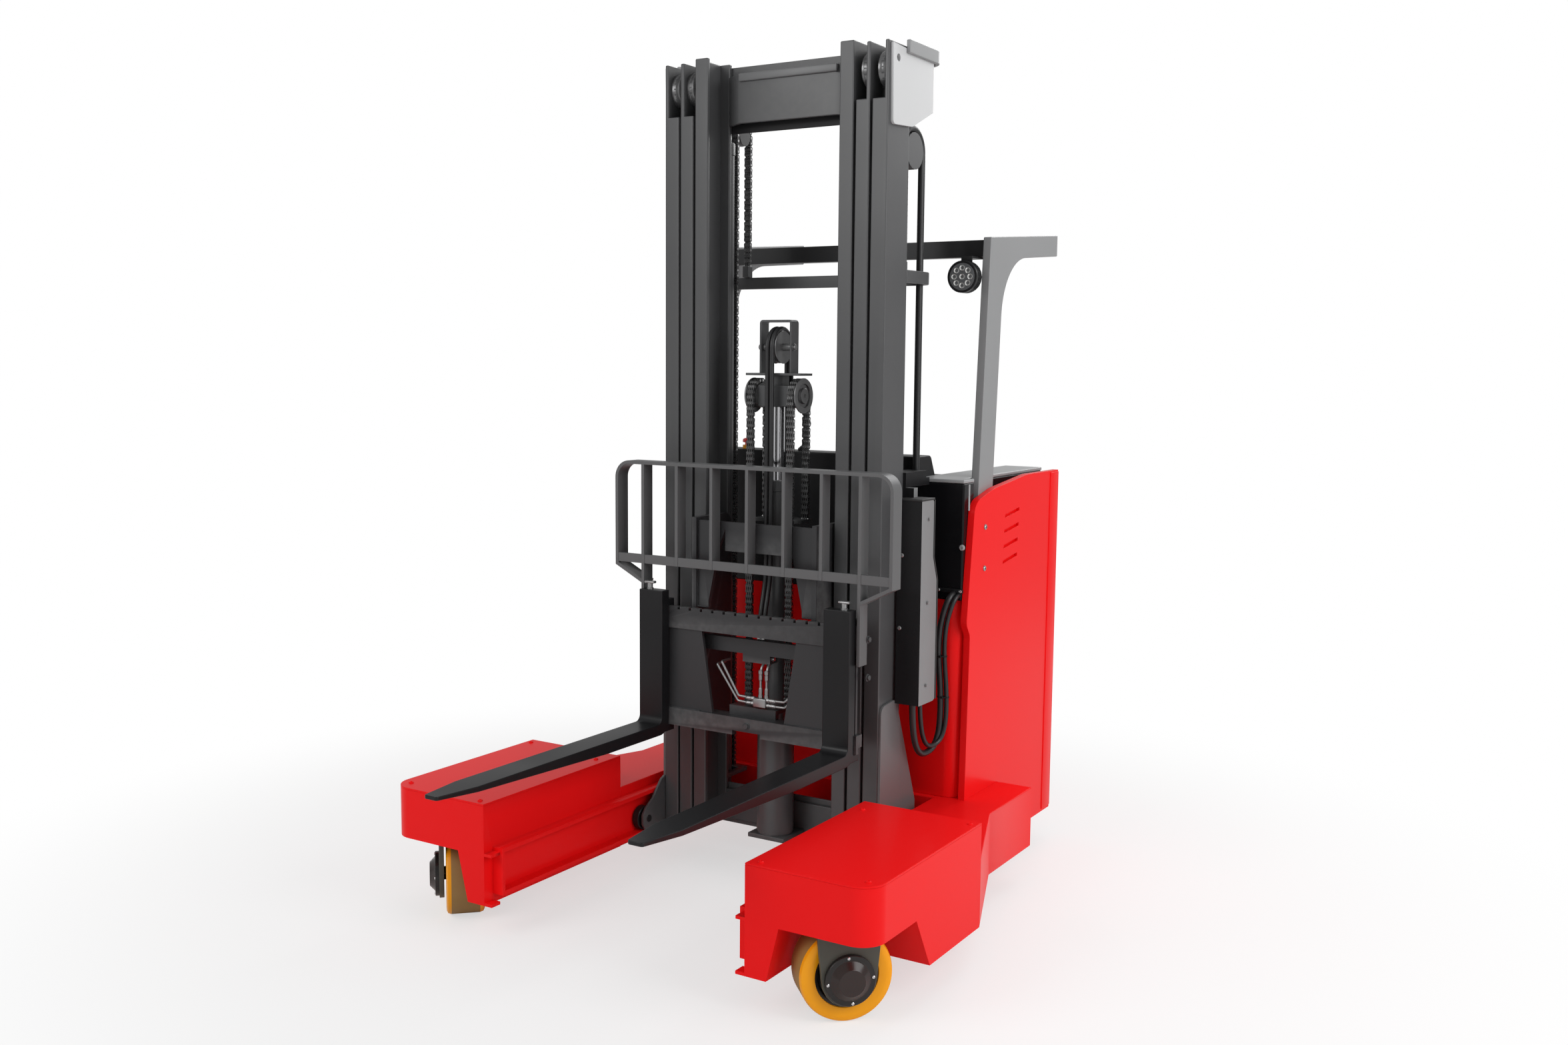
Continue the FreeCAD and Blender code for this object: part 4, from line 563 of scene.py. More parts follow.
worked_copy("operator_floor", 0.002, black_steel)
mat = block("floor_mat", MAT_LOW, MAT_HIGH, 2)
ribs = []
pitch = (MAT_HIGH[0] - MAT_LOW[0] - 30) / MAT_RIBS
for i in range(MAT_RIBS):
    x = MAT_LOW[0] + 15 + (i + 0.25) * pitch
    ribs.append(block("rib", (x, MAT_LOW[1] + 15, MAT_HIGH[2] - 1),
                      (x + pitch / 2, MAT_HIGH[1] - 15, MAT_HIGH[2] + 2.5), 1, 2))
dressed(joined("floor_mat", *ribs, mat), tyre_black, "chassis")
vinyl = finish("vinyl", (0.013, 0.013, 0.014), (0.36, 0.5), relief=0.0005, scale=520.0)
pad = worked_copy("lean_pad", 0.014, vinyl, 4)


# Overhead guard. Two plates cut from thick steel, each a post and a side of the roof in
# one, carry the front beam and the bars. All of it is sprayed mid gray; the bars and front
# beam are drawn near black as painted shade.
GUARD_GRAY = (0.26, 0.263, 0.267)
BEAM_SHADE = (0.016, 0.016, 0.017)
MAST_GRAY = (0.066, 0.067, 0.069)

guard_gray = finish("guard_gray", GUARD_GRAY, (0.34, 0.46), scuffed=(0.3, 0.3, 0.3), scuff=0.4)
mast_gray = finish("mast_gray", MAST_GRAY, (0.30, 0.44), scuffed=(0.2, 0.2, 0.2), scuff=0.5)
for side in ("left", "right"):
    worked_copy("guard_side_" + side, 0.003, guard_gray, 3)
# The bars and front beam are mid gray. They are drawn near black as painted shade, for the shadow on the
# beam's front.
beam_shade = finish("beam_shade", BEAM_SHADE, (0.36, 0.5), shine=0.3)
worked_copy("guard_bars", 0.002, beam_shade)


# Work lamp. A round cast housing with fins hangs on a bent strap under the front beam. Its
# clear front shows nine small reflectors.
LAMP_AT = (506, 1317.4, 2130)
LAMP_R = 0.054
LAMP_D = 0.044
LAMP_FACE_R = 0.0465
FIN_R = LAMP_R + 0.0008
FIN_FOOT = LAMP_R - 0.004
FIN_PITCH = 0.007
REFLECTOR_RING = 0.030

worked_copy("work_lamp", 0.0, black_steel)
lamp_at = at(*LAMP_AT)
lamp_place = facing(lamp_at, (0, 1, 0))
fins = [(0.0, 0.002), (LAMP_R - 0.006, 0.002), (FIN_FOOT, -0.0015), (FIN_R, -0.0015), (FIN_R, 0.012)]
for i in range(4):
    along = 0.012 + i * FIN_PITCH
    fins += [(FIN_FOOT, along + 0.001), (FIN_FOOT, along + 0.004), (FIN_R, along + 0.005),
             (FIN_R, along + FIN_PITCH)]
fins += [(LAMP_R - 0.008, LAMP_D + 0.003), (0.0, LAMP_D + 0.003)]
turned("lamp_housing", fins, lamp_place, black_steel, "chassis", steps=64)
lamp_silver = finish("lamp_silver", (0.80, 0.80, 0.78), (0.08, 0.16), metallic=0.6, relief=0.0001, scale=30.0)
lamp_plate = finish("lamp_plate", (0.16, 0.165, 0.17), (0.2, 0.3), metallic=0.3, drift=0.04)
turned("lamp_face", [(0.0, -0.0008), (LAMP_FACE_R, -0.0008), (LAMP_FACE_R, 0.0012), (0.0, 0.0012)],
       lamp_place, lamp_plate, "chassis", steps=64)
cups = []
for i in range(9):
    ring = 0.0 if i == 8 else REFLECTOR_RING
    a = i * math.pi / 4
    cup = spun("cup", [(0.0, 0.0032), (0.0028, 0.0030), (0.0034, 0.0008), (0.0078, -0.0022),
                       (0.0098, -0.0026), (0.0098, 0.003)], 24)
    cup.data.transform(facing(lamp_at + Vector((ring * math.cos(a), 0.0, ring * math.sin(a))), (0, 1, 0)))
    cups.append(cup)
dressed(joined("lamp_reflectors", *cups), lamp_silver, "chassis")


# Mast rails. Three nested pairs of rolled channels stand in one another. They are sprayed
# satin gray outside, with wear along the tracks, and have a round roller at each top.
RAIL_EDGE = 0.004
ROLLER_R = 0.0592
ROLLER_Y = 964
ROLLER_Z = 2770
TOP_ROLLERS = ((386.6, 424), (326.6, 358))
PLATE_GRAY = (0.58, 0.585, 0.59)
COVER_GRAY = (0.21, 0.213, 0.217)
FOOT_GRAY = (0.13, 0.132, 0.134)
HEAD_FACE = 980
LIP_LOW = (-189, HEAD_FACE - 9, 2787)
LIP_HIGH = (200, HEAD_FACE + 1, 2814)
STRIP_LOW = (-368, 1041, 2625)
STRIP_HIGH = (368, 1051, 2681)

foot_gray = finish("foot_gray", FOOT_GRAY, (0.32, 0.44), scuffed=(0.2, 0.2, 0.2), scuff=0.5)
cover_gray = finish("cover_gray", COVER_GRAY, (0.32, 0.44), scuffed=(0.3, 0.3, 0.3), scuff=0.4)

for node in ("outer_rail", "mid_rail", "inner_rail"):
    for side in ("left", "right"):
        worked_copy(node + "_" + side, RAIL_EDGE, mast_gray, 3)
for node in ("outer_cross", "mid_cross", "inner_cross"):
    worked_copy(node, 0.003, mast_gray)
dressed(block("head_lip", LIP_LOW, LIP_HIGH, 4), foot_gray, "mast_inner")
dressed(block("head_strip", STRIP_LOW, STRIP_HIGH, 2), beam_shade, "mast_mid")
worked_copy("upper_tie", 0.003, guard_gray, 3)
roller_steel = finish("roller_steel", (0.17, 0.17, 0.172), (0.2, 0.32), metallic=0.6, relief=0.00005)
for i, (x0, x1) in enumerate(TOP_ROLLERS):
    w = (x1 - x0) / 1000
    r = ROLLER_R
    profile = [(0.0, -0.0004), (r * 0.34, -0.0004), (r * 0.36, 0.003), (r * 0.62, 0.003),
               (r * 0.66, -0.0004), (r * 0.93, -0.0004), (r, 0.0035), (r, w * 0.32), (r * 0.985, w * 0.36),
               (r * 0.985, w * 0.64), (r, w * 0.68), (r, w - 0.0035), (r * 0.95, w), (0.0, w)]
    for sign, side in SIDES:
        place = facing(*aside(sign, x0, ROLLER_Y, ROLLER_Z))
        turned("rail_roller_%d_%s" % (i, side), profile, place, roller_steel,
               "mast_outer" if i == 0 else "mast_mid", steps=64)


# Mast fittings. The top plates with their lifting eyes, the foot plates with their rollers
# and the folded hose cover are welded or screwed to the outer rails.
CLAMP_LOW = 1420.5
FRONT_SHADE_LEAN = -0.6        # a face of the cover whose normal points further forward than this is drawn black as painted shade
GUSSET_IN = 436
GUSSET_OUT = 446
COVER_OUT = 535
SEAL_LOW = (444, 983, 1382)
SEAL_HIGH = (537, 1080, 1389)
SIDE_BOLTS = (1320, 1040, 760)
FACE_BOLTS = ((464, 1200), (459, 955))
GUIDE_Y = 790
GUIDE_Z = 197.5
GUIDE_R = 0.0425
GUIDE_EDGE = ((893, 335), (868, 324), (816, 266), (776, 240), (757, 216), (757, 180), (772, 160), (893, 154))
GUIDE_PROFILE = [(0.0, -0.0125), (0.012, -0.0125), (0.013, -0.0115), (0.013, 0.008), (0.034, 0.008),
                 (0.036, 0.0072), (GUIDE_R - 0.002, 0.0072), (GUIDE_R, 0.0092), (GUIDE_R, 0.0312),
                 (GUIDE_R - 0.002, 0.0332), (0.020, 0.0332), (0.019, 0.0302), (0.0, 0.0302)]

plate_gray = finish("plate_gray", PLATE_GRAY, (0.30, 0.42), scuffed=(0.5, 0.5, 0.5), scuff=0.3)
for side in ("left", "right"):
    worked_copy("top_bracket_" + side, 0.002, plate_gray, 3)
    worked_copy("foot_frame_" + side, 0.002, foot_gray)
cover = worked_copy("hose_cover", 0.003, cover_gray, 3)
# Faces above the clamp's foot are the black clamp. Faces pointing forward are drawn black as painted shade on
# the cover's front.
cover.data.materials.append(grained_black)
for face in cover.data.polygons:
    if face.normal.y < FRONT_SHADE_LEAN or face.center.z > CLAMP_LOW / 1000:
        face.material_index = 1
dressed(block("cover_seal", SEAL_LOW, SEAL_HIGH, 2.5), tyre_black, "mast_outer")
for sign, side in SIDES:
    mesh = bpy.data.meshes.new("guide_bracket")
    mesh.from_pydata([at(sign * GUSSET_IN, y, z) for y, z in GUIDE_EDGE], [], [tuple(range(len(GUIDE_EDGE)))])
    bracket = placed("guide_bracket_" + side, mesh)
    only(bracket)
    thickness = sign * (GUSSET_OUT - GUSSET_IN) / 1000
    with whole_mesh():
        bpy.ops.mesh.extrude_region_move(TRANSFORM_OT_translate={"value": (thickness, 0, 0)})
        bpy.ops.mesh.select_all(action="SELECT")
        bpy.ops.mesh.normals_make_consistent(inside=False)
    dressed(rounded(bracket, 0.0015, 2), mast_gray, "mast_outer")
    place = facing(*aside(sign, GUSSET_OUT, GUIDE_Y, GUIDE_Z))
    turned("guide_roller_" + side, GUIDE_PROFILE, place, black_steel, "mast_outer")
fasteners("cover_bolts", hex_head(0.0045), [(at(SEAL_HIGH[0], 1035, z), (1, 0, 0)) for z in SIDE_BOLTS],
          cover_gray, "mast_outer")
fasteners("cover_face_bolts", button_head(0.0075), [(at(x, 985, z), (0, -1, 0)) for x, z in FACE_BOLTS],
          dull_steel, "mast_outer")


# Lift cylinders. Two slim cylinders stand behind the mast, and the free-lift cylinder in its
# middle has a wide base, a slimmer barrel with a gland and a hard-chromed rod.
CHROME = (0.80, 0.80, 0.82)
MIDDLE_Y = 948          # the free-lift cylinder, its sheaves and the hose pulley stand on this line
LIFT_AT = (330, 1092, 0)
LIFT_ROD_R = 0.0272
FREE_ROD_R = 0.0231
FREE_BARREL = [(0.0234, 0.186), (0.0600, 0.186), (0.0647, 0.191), (0.0647, 0.534), (0.0630, 0.5405),
               (0.0400, 0.5415), (0.0345, 0.546), (0.0345, 1.392), (0.0385, 1.394), (0.0390, 1.398),
               (0.0390, 1.424), (0.0378, 1.429), (0.0270, 1.431), (0.0242, 1.4285), (0.0242, 1.400),
               (0.0234, 1.390), (0.0234, 0.186)]
LIFT_BARREL = [(0.0276, 0.166), (0.0360, 0.166), (0.0403, 0.172), (0.0403, 2.560), (0.0425, 2.562),
               (0.0425, 2.600), (0.0410, 2.604), (0.0276, 2.604), (0.0276, 0.166)]

chrome = finish("chrome", CHROME, (0.05, 0.12), metallic=1.0, relief=0.00002, drift=0.03)
worked_copy("lift_barrels", 0.001, mast_gray)
worked_copy("free_barrel", 0.001, mast_gray)
worked_copy("rod_head", 0.002, mast_gray, 3)
free_place = facing(at(0, MIDDLE_Y, 0), UP)
turned("free_lift_barrel", FREE_BARREL, free_place, mast_gray, body_of_node["free_barrel"],
       steps=64)
turned("free_lift_rod", [(0.0, 0.560), (FREE_ROD_R, 0.560), (FREE_ROD_R, 1.681), (0.0, 1.681)],
       free_place, chrome, "free_rod", steps=64)
for sign, side in SIDES:
    place = facing(at(sign * LIFT_AT[0], *LIFT_AT[1:]), UP)
    turned("lift_barrel_" + side, LIFT_BARREL, place, mast_gray, body_of_node["lift_barrels"])
    turned("lift_rod_" + side, [(0.0, 0.252), (LIFT_ROD_R, 0.252), (LIFT_ROD_R, 2.833), (0.0, 2.833)],
           place, chrome, "mast_mid")


# Sheaves and hose pulley. Machined steel wheels turn beside the rod's head and in its yoke.
# Each sheave has a wide outer flange and a hub with a grease nipple.
SHEAVE_X = 65.4
SHEAVE_Z = 1720
PULLEY_X = 2
PULLEY_Z = 1884
GROOVE_R = 0.0078
SHEAVE_PROFILE = [(0.0, 0.0), (0.0422, 0.0), (0.0424, 0.030), (0.0585, 0.0305), (0.0600, 0.0320),
                  (0.0600, 0.0350), (0.0590, 0.0362), (0.0415, 0.0362), (0.0405, 0.0352), (0.0395, 0.0325),
                  (0.0275, 0.0325), (0.0265, 0.0345), (0.0260, 0.0385), (0.0245, 0.0395), (0.0060, 0.0395),
                  (0.0040, 0.0370), (0.0, 0.0365)]

sheave_gray = finish("sheave_gray", (0.12, 0.12, 0.122), (0.28, 0.4), metallic=0.5, relief=0.0001, scale=80.0,
                     scuffed=(0.5, 0.5, 0.5), scuff=0.8)
for sign, side in SIDES:
    place = facing(*aside(sign, SHEAVE_X, MIDDLE_Y, SHEAVE_Z))
    turned("chain_sheave_" + side, SHEAVE_PROFILE, place, sheave_gray, body_of_node["chain_sheaves"],
           "chain_sheaves", 64)
groove = [(0.0, -0.0172), (0.0545, -0.0172), (0.0560, -0.0160)]
for centre in (-0.009, 0.009):
    for k in range(-4, 5):
        a = k * math.pi / 8
        groove.append((0.0545 - GROOVE_R * math.cos(a) * 0.9, centre + GROOVE_R * math.sin(a)))
groove += [(0.0560, 0.0160), (0.0545, 0.0172), (0.0, 0.0172)]
pulley = spun("hose_pulley", groove, 64)
pin = spun("pulley_pin", [(0.0, -0.062), (0.0122, -0.062), (0.0122, 0.058), (0.0, 0.058)], 32)
for piece in (pulley, pin):
    piece.data.transform(facing(at(PULLEY_X, MIDDLE_Y, PULLEY_Z), (1, 0, 0)))
dressed(joined("hose_pulley", pin, pulley), sheave_gray, body_of_node["chain_sheaves"],
        "chain_sheaves")
fasteners("yoke_bolts", hex_head(0.0095), [aside(sign, 64, 940, PULLEY_Z) for sign in (1, -1)],
          sheave_gray, "free_rod")


# Carriage and load backrest. The hooked bars, side plates and backrest are cut from thick
# plate and welded. Weld beads run along the bars, and bolts hold the backrest's ends.
BEAD_R = 0.0035
RIPPLE = 0.14           # how far the ripples of a bead dip, as a share of its radius
CARRIAGE_FRONT = 756.4
CARRIAGE_REAR = 794.4
WELDS = (((196, 764.6, 629), (424, 764.6, 629)), ((196, 764.6, 912), (424, 764.6, 912)),
         ((256, CARRIAGE_REAR, 634), (256, CARRIAGE_REAR, 900)),
         ((192, CARRIAGE_REAR + 8, 989), (248, CARRIAGE_REAR + 8, 989)))

carriage_gray = finish("carriage_gray", (0.032, 0.032, 0.034), (0.32, 0.45), scuffed=(0.2, 0.2, 0.2),
                       scuff=0.7, shine=0.4)
backrest_gray = finish("backrest_gray", (0.105, 0.106, 0.108), (0.36, 0.48), scuffed=(0.25, 0.25, 0.25),
                       scuff=0.5)
worked_copy("carriage", 0.003, carriage_gray, 3)
worked_copy("backrest", 0.0025, backrest_gray, 3)


def cut_marked(cuts):
    """Cuts each marked edge of the active piece into shorter ones."""
    bpy.ops.object.mode_set(mode="EDIT")
    bpy.ops.mesh.select_mode(type="EDGE")
    bpy.ops.mesh.subdivide(number_cuts=cuts)
    bpy.ops.mesh.select_mode(type="VERT")
    bpy.ops.object.mode_set(mode="OBJECT")


def bead(start, end):
    """A weld bead between two places: a rod of shallow overlapping ripples."""
    length = (end - start).length
    ripples = max(4, int(length / (BEAD_R * 1.6)))
    piece = stick(8, BEAD_R, length, length / 2)
    bpy.ops.object.mode_set(mode="EDIT")
    bpy.ops.mesh.select_all(action="DESELECT")
    bpy.ops.object.mode_set(mode="OBJECT")
    for edge in piece.data.edges:
        a, b = (piece.data.vertices[i].co for i in edge.vertices)
        edge.select = abs(a.x - b.x) > length / 2
    cut_marked(2 * ripples - 1)
    for vertex in piece.data.vertices:
        swell = 1 - RIPPLE + RIPPLE * math.cos(vertex.co.x / length * ripples * 2 * math.pi)
        vertex.co.y *= swell
        vertex.co.z *= swell
    piece.data.transform(facing(start, end - start))
    return piece


beads = [bead(aside(sign, *start)[0], aside(sign, *end)[0]) for sign in (1, -1) for start, end in WELDS]
dressed(joined("carriage_welds", *beads), carriage_gray, "fork_carriage")
fasteners("carriage_bolts", hex_head(0.0095),
          [(at(2, CARRIAGE_FRONT, 604), (0, -1, 0))]
          + [aside(sign, 438, 804, z) for sign in (1, -1) for z in (942, 816)],
          carriage_gray, "fork_carriage")


# Valve and pipes. The side-shift valve behind the carriage feeds a small junction block in
# front of it through two upright pipes, and four bent pipes run on to both sides.
PIPE_R = 0.0045
SEAM_R = 0.0035
JUNCTION_LOW = (7, 786, 666)
JUNCTION_HIGH = (57, 812, 697)
PIPE_BEND = 13
RISER_X = (30, 54)
SEAM = ((COVER_OUT, 1108, 702), (COVER_OUT, 1108, 1110), (COVER_OUT, 1078, 1190), (COVER_OUT, 1078, 1382))
PIPE_ROUTES = (((-148, 850, 795), (-148, 799, 795), (-61, 799, 677), (10, 799, 674)),
               ((-129, 850, 806), (-129, 799, 806), (-59, 799, 695), (10, 799, 693)),
               ((54, 799, 673), (128, 799, 675), (146, 799, 694), (150, 840, 700)),
               ((54, 799, 692), (126, 799, 694), (146, 799, 712), (148, 840, 718)))


def smooth_line(name, points, steps):
    """A curve along a smooth line through the pull of its points."""
    curve = bpy.data.curves.new(name, "CURVE")
    curve.dimensions = "3D"
    line = curve.splines.new("NURBS")
    line.points.add(len(points) - 1)
    for place, point in zip(points, line.points):
        point.co = (*place, 1.0)
    line.order_u = 3
    line.use_endpoint_u = True
    curve.resolution_u = steps
    return curve


def tube(name, points, radius, sides=6, steps=6):
    """A round tube along a smooth line, closed at both ends."""
    curve = smooth_line(name, points, steps)
    curve.bevel_depth = radius
    curve.bevel_resolution = sides
    curve.use_fill_caps = True
    only(placed(name, curve))
    bpy.ops.object.convert(target="MESH")
    return bpy.context.object


def bent(route):
    """The points of a pipe that runs straight between its corners and turns tightly there."""
    corners = [at(*corner) for corner in route]
    bend = PIPE_BEND / 1000
    points = [corners[0]]
    for before, corner, after in zip(corners, corners[1:], corners[2:]):
        back = (before - corner).normalized() * bend
        on = (after - corner).normalized() * bend
        points += [corner + back, corner, corner + on]
    return points + [corners[-1]]


pipes = [tube("pipe", bent(route), PIPE_R) for route in PIPE_ROUTES]
for x in RISER_X:
    riser = [at(x, 800, 696), at(x, 800, 740), at(x, 800, 780), at(x, 806, 806), at(x, 820, 812)]
    pipes.append(tube("pipe", riser, PIPE_R))
dressed(tube("cover_seam", bent(SEAM), SEAM_R), tyre_black, "mast_outer")
dressed(joined("shift_pipes", *pipes, block("junction", JUNCTION_LOW, JUNCTION_HIGH, 3)), dull_steel,
        "fork_carriage")


def union(radius):
    """A pipe union: two hexagonal nuts on a round collar, made along +X."""
    nuts = [rounded(stick(6, r, tall, along + tall / 2), r * 0.08)
            for along, r, tall in ((0.0, radius, 0.012), (0.015, radius * 0.86, 0.016))]
    collar = spun("collar", [(0.0, -0.002), (radius * 0.72, -0.002), (radius * 0.72, 0.034),
                             (radius * 0.6, 0.036), (0.0, 0.036)], 24)
    return joined("union", *nuts, collar)


fasteners("pipe_unions", union(0.0088),
          [(at(x, 800, 697), UP) for x in RISER_X] + [(at(x, 800, 792), (0, 0, -1)) for x in RISER_X]
          + [(at(8, 799, z), (-1, 0, 0)) for z in (675, 692)]
          + [(at(56, 799, z), (1, 0, 0)) for z in (674, 692)],
          dull_steel, "fork_carriage")
fasteners("valve_plugs", hex_head(0.008), [(at(x, 854, 829), (0, 1, 0)) for x in (-30, 34)]
          + [(at(-53, 834, 829), (-1, 0, 0)), (at(57, 834, 829), (1, 0, 0))], bright_steel, "fork_carriage")


# Forks. Each is one forged bar with a tapered blade and a round heel, hung on its hooks. A
# spring latch with a lever head stands on its top and drops into the bar's notches.
LATCH_X = 388
LATCH_Y = 735

fork_black = finish("fork_black", (0.009, 0.009, 0.010), (0.28, 0.42), scuffed=(0.16, 0.16, 0.16), scuff=0.8,
                    shine=0.25)
for side in ("left", "right"):
    worked_copy("fork_" + side, 0.0025, fork_black, 3)
for sign, side in SIDES:
    shank = spun("latch", [(0.0, -0.006), (0.0115, -0.006), (0.0115, 0.004), (0.0092, 0.006),
                           (0.0092, 0.022), (0.0, 0.022)], 32)
    shank.data.transform(facing(at(sign * LATCH_X, LATCH_Y, 1044), UP))
    lever_head = block("latch_head", (LATCH_X - 20, LATCH_Y - 10, 1064),
                       (LATCH_X + 21, LATCH_Y + 10, 1073), 4)
    if sign < 0:
        lever_head.data.transform(Matrix.Translation(at(-2 * LATCH_X, ORIGIN_Y, 0)))
    dressed(joined("fork_latch_" + side, shank, lever_head), dull_steel, "fork_" + side)


# Leaf chains. Rows of waisted plates, four and three in turn, are laced on hardened pins.
# The free-lift pair runs over the sheaves, and the stage pair over the pulleys behind.
CHAIN_PITCH = 0.01905
PLATE_HALF = 0.0082
PLATE_T = 0.0033
PLATE_WAIST = 0.74
PIN_R = 0.0042
PIN_LENGTH = 0.0262
OUTER_ROW = (-0.0110, -0.0037, 0.0037, 0.0110)
INNER_ROW = (-0.00735, 0.0, 0.00735)
FREE_CHAIN = {"x": 80.4, "y": MIDDLE_Y, "radius": 51.4, "centre": SHEAVE_Z, "front_low": 660,
              "rear_low": 1296.4}
STAGE_CHAIN = {"x": 317.8, "y": 1194, "radius": 42.4, "centre": 2640, "front_low": 330.4, "rear_low": 2182.4}

chain_dark = finish("chain_dark", (0.022, 0.022, 0.023), (0.22, 0.36), metallic=0.5, relief=0.0001,
                    scale=240.0, scuffed=(0.4, 0.4, 0.4), scuff=0.8)


def thickened(piece, thickness, offset=0.0):
    """The active piece, a sheet, made solid."""
    sheet = piece.modifiers.new("thickness", "SOLIDIFY")
    sheet.thickness = thickness
    sheet.offset = offset
    bpy.ops.object.modifier_apply(modifier="thickness")
    return piece


def chain_plate(pitch):
    """One waisted plate of a leaf chain, its length along Z and its thickness along X."""
    bpy.ops.mesh.primitive_circle_add(vertices=12, radius=PLATE_HALF, fill_type="NGON",
                                      rotation=(0, math.pi / 2, 0))
    plate = bpy.context.object
    bpy.ops.object.transform_apply(location=True, rotation=True, scale=True)
    plate.data.transform(Matrix.Rotation(math.pi / 12, 4, "X"))
    for vertex in plate.data.vertices:
        vertex.co.z += pitch / 2 if vertex.co.z > 0 else -pitch / 2
    nearest = min(abs(vertex.co.z) for vertex in plate.data.vertices)
    for edge in plate.data.edges:
        ends = [plate.data.vertices[i].co.z for i in edge.vertices]
        edge.select = all(abs(abs(z) - nearest) < 1e-5 for z in ends) and ends[0] * ends[1] < 0
    only(plate)
    cut_marked(1)
    for vertex in plate.data.vertices:
        if abs(vertex.co.z) < nearest / 2:
            vertex.co.y *= PLATE_WAIST
    return thickened(plate, PLATE_T)


def strand_places(run, pitch_aim):
    """The pins' places along one chain: up its front strand, over the wheel, down behind."""
    radius = run["radius"] / 1000
    front = (run["centre"] - run["front_low"]) / 1000
    rear = (run["centre"] - run["rear_low"]) / 1000
    arc = math.pi * radius
    count = round((front + arc + rear) / pitch_aim)
    places = []
    for i in range(count + 1):
        s = (front + arc + rear) * i / count
        if s <= front:
            spot = (run["y"] - run["radius"], run["front_low"] + 1000 * s)
        elif s <= front + arc:
            a = (s - front) / radius
            spot = (run["y"] - run["radius"] * math.cos(a), run["centre"] + run["radius"] * math.sin(a))
        else:
            spot = (run["y"] + run["radius"], run["centre"] - 1000 * (s - front - arc))
        part = "front" if s <= front else "ring" if s <= front + arc else "rear"
        places.append((part, spot))
    return places


def lay_chain(name, run, sign, node, moves):
    """Lays one chain link by link. A strand whose move is one body rides it, and the others stay where they
    lie.
    """
    places = strand_places(run, CHAIN_PITCH)
    step = (at(run["x"], *places[1][1]) - at(run["x"], *places[0][1])).length
    plate = chain_plate(step)
    pin = stick(10, PIN_R, PIN_LENGTH)
    laid = {"front": ([], []), "ring": ([], []), "rear": ([], [])}
    for i, (part, spot) in enumerate(places):
        here = at(sign * run["x"], *spot)
        rod = placed("pin", pin.data.copy())
        rod.data.transform(Matrix.Translation(here))
        laid[part][1].append(rod)
        if i == len(places) - 1:
            continue
        there = at(sign * run["x"], *places[i + 1][1])
        way = there - here
        lean = math.atan2(-way.y, way.z)
        for x in (OUTER_ROW if i % 2 == 0 else INNER_ROW):
            link = placed("plate", plate.data.copy())
            link.data.transform(Matrix.Translation((here + there) / 2 + Vector((x, 0, 0)))
                                @ Matrix.Rotation(lean, 4, "X"))
            laid[part][0].append(link)
    bpy.data.objects.remove(plate)
    bpy.data.objects.remove(pin)
    for part, (plates, pins) in laid.items():
        layers = []
        for pieces, material in ((pins, bright_steel), (plates, chain_dark)):
            layer = joined("layer", *pieces)
            layer.data.materials.clear()
            layer.data.materials.append(material)
            layers.append(layer)
        strand = joined("%s_%s_%s" % (name, part, "right" if sign > 0 else "left"), *layers)
        bpy.ops.object.shade_smooth_by_angle(angle=SMOOTH_ANGLE)
        settled(strand, moves[part], node)


def height(z):
    """A point on the mast's middle line, at a height in truck millimetres."""
    return tuple(at(0, MIDDLE_Y, z))


def hung(wheel, low, rear=False):
    """The move of a strand that the free rod lifts: from its fixed end to the carriage's."""
    ends = (height(low), height(2 * wheel - low))
    return ("mast_inner", "fork_carriage", *(ends if rear else ends[::-1]))


for sign in (1, -1):
    lay_chain("free_chain", FREE_CHAIN, sign, "free_chains", {
        "front": hung(SHEAVE_Z, FREE_CHAIN["front_low"]),
        "ring": "free_rod",
        "rear": hung(SHEAVE_Z, FREE_CHAIN["rear_low"], True)})
    lay_chain("stage_chain", STAGE_CHAIN, sign, "lift_chains", {
        "front": ("mast_mid", "mast_inner", height(STAGE_CHAIN["centre"]), height(STAGE_CHAIN["front_low"])),
        "ring": "mast_mid",
        "rear": ("mast_outer", "mast_mid", height(STAGE_CHAIN["rear_low"]), height(STAGE_CHAIN["centre"]))})


# Hoses on the mast. Rubber hoses with crimped steel ends run from the valve over the yoke's
# pulley and down the cylinder, and from the clamp over the middle stage's pulley.
PULLEY_SEAT = 62.4
FRONT_HOSE_Y = MIDDLE_Y - PULLEY_SEAT
REAR_HOSE_Y = MIDDLE_Y + PULLEY_SEAT
HOSE_LOW = 846.4
HOSE_END = 1296.4
HOSE_R = 0.0080
MAST_HOSE_R = 0.0120
MAST_HOSE_X = 400
MAST_HOSE_Y = 1131
MAST_HOSE_TOP = 2535
MAST_HOSE_BEND = 74

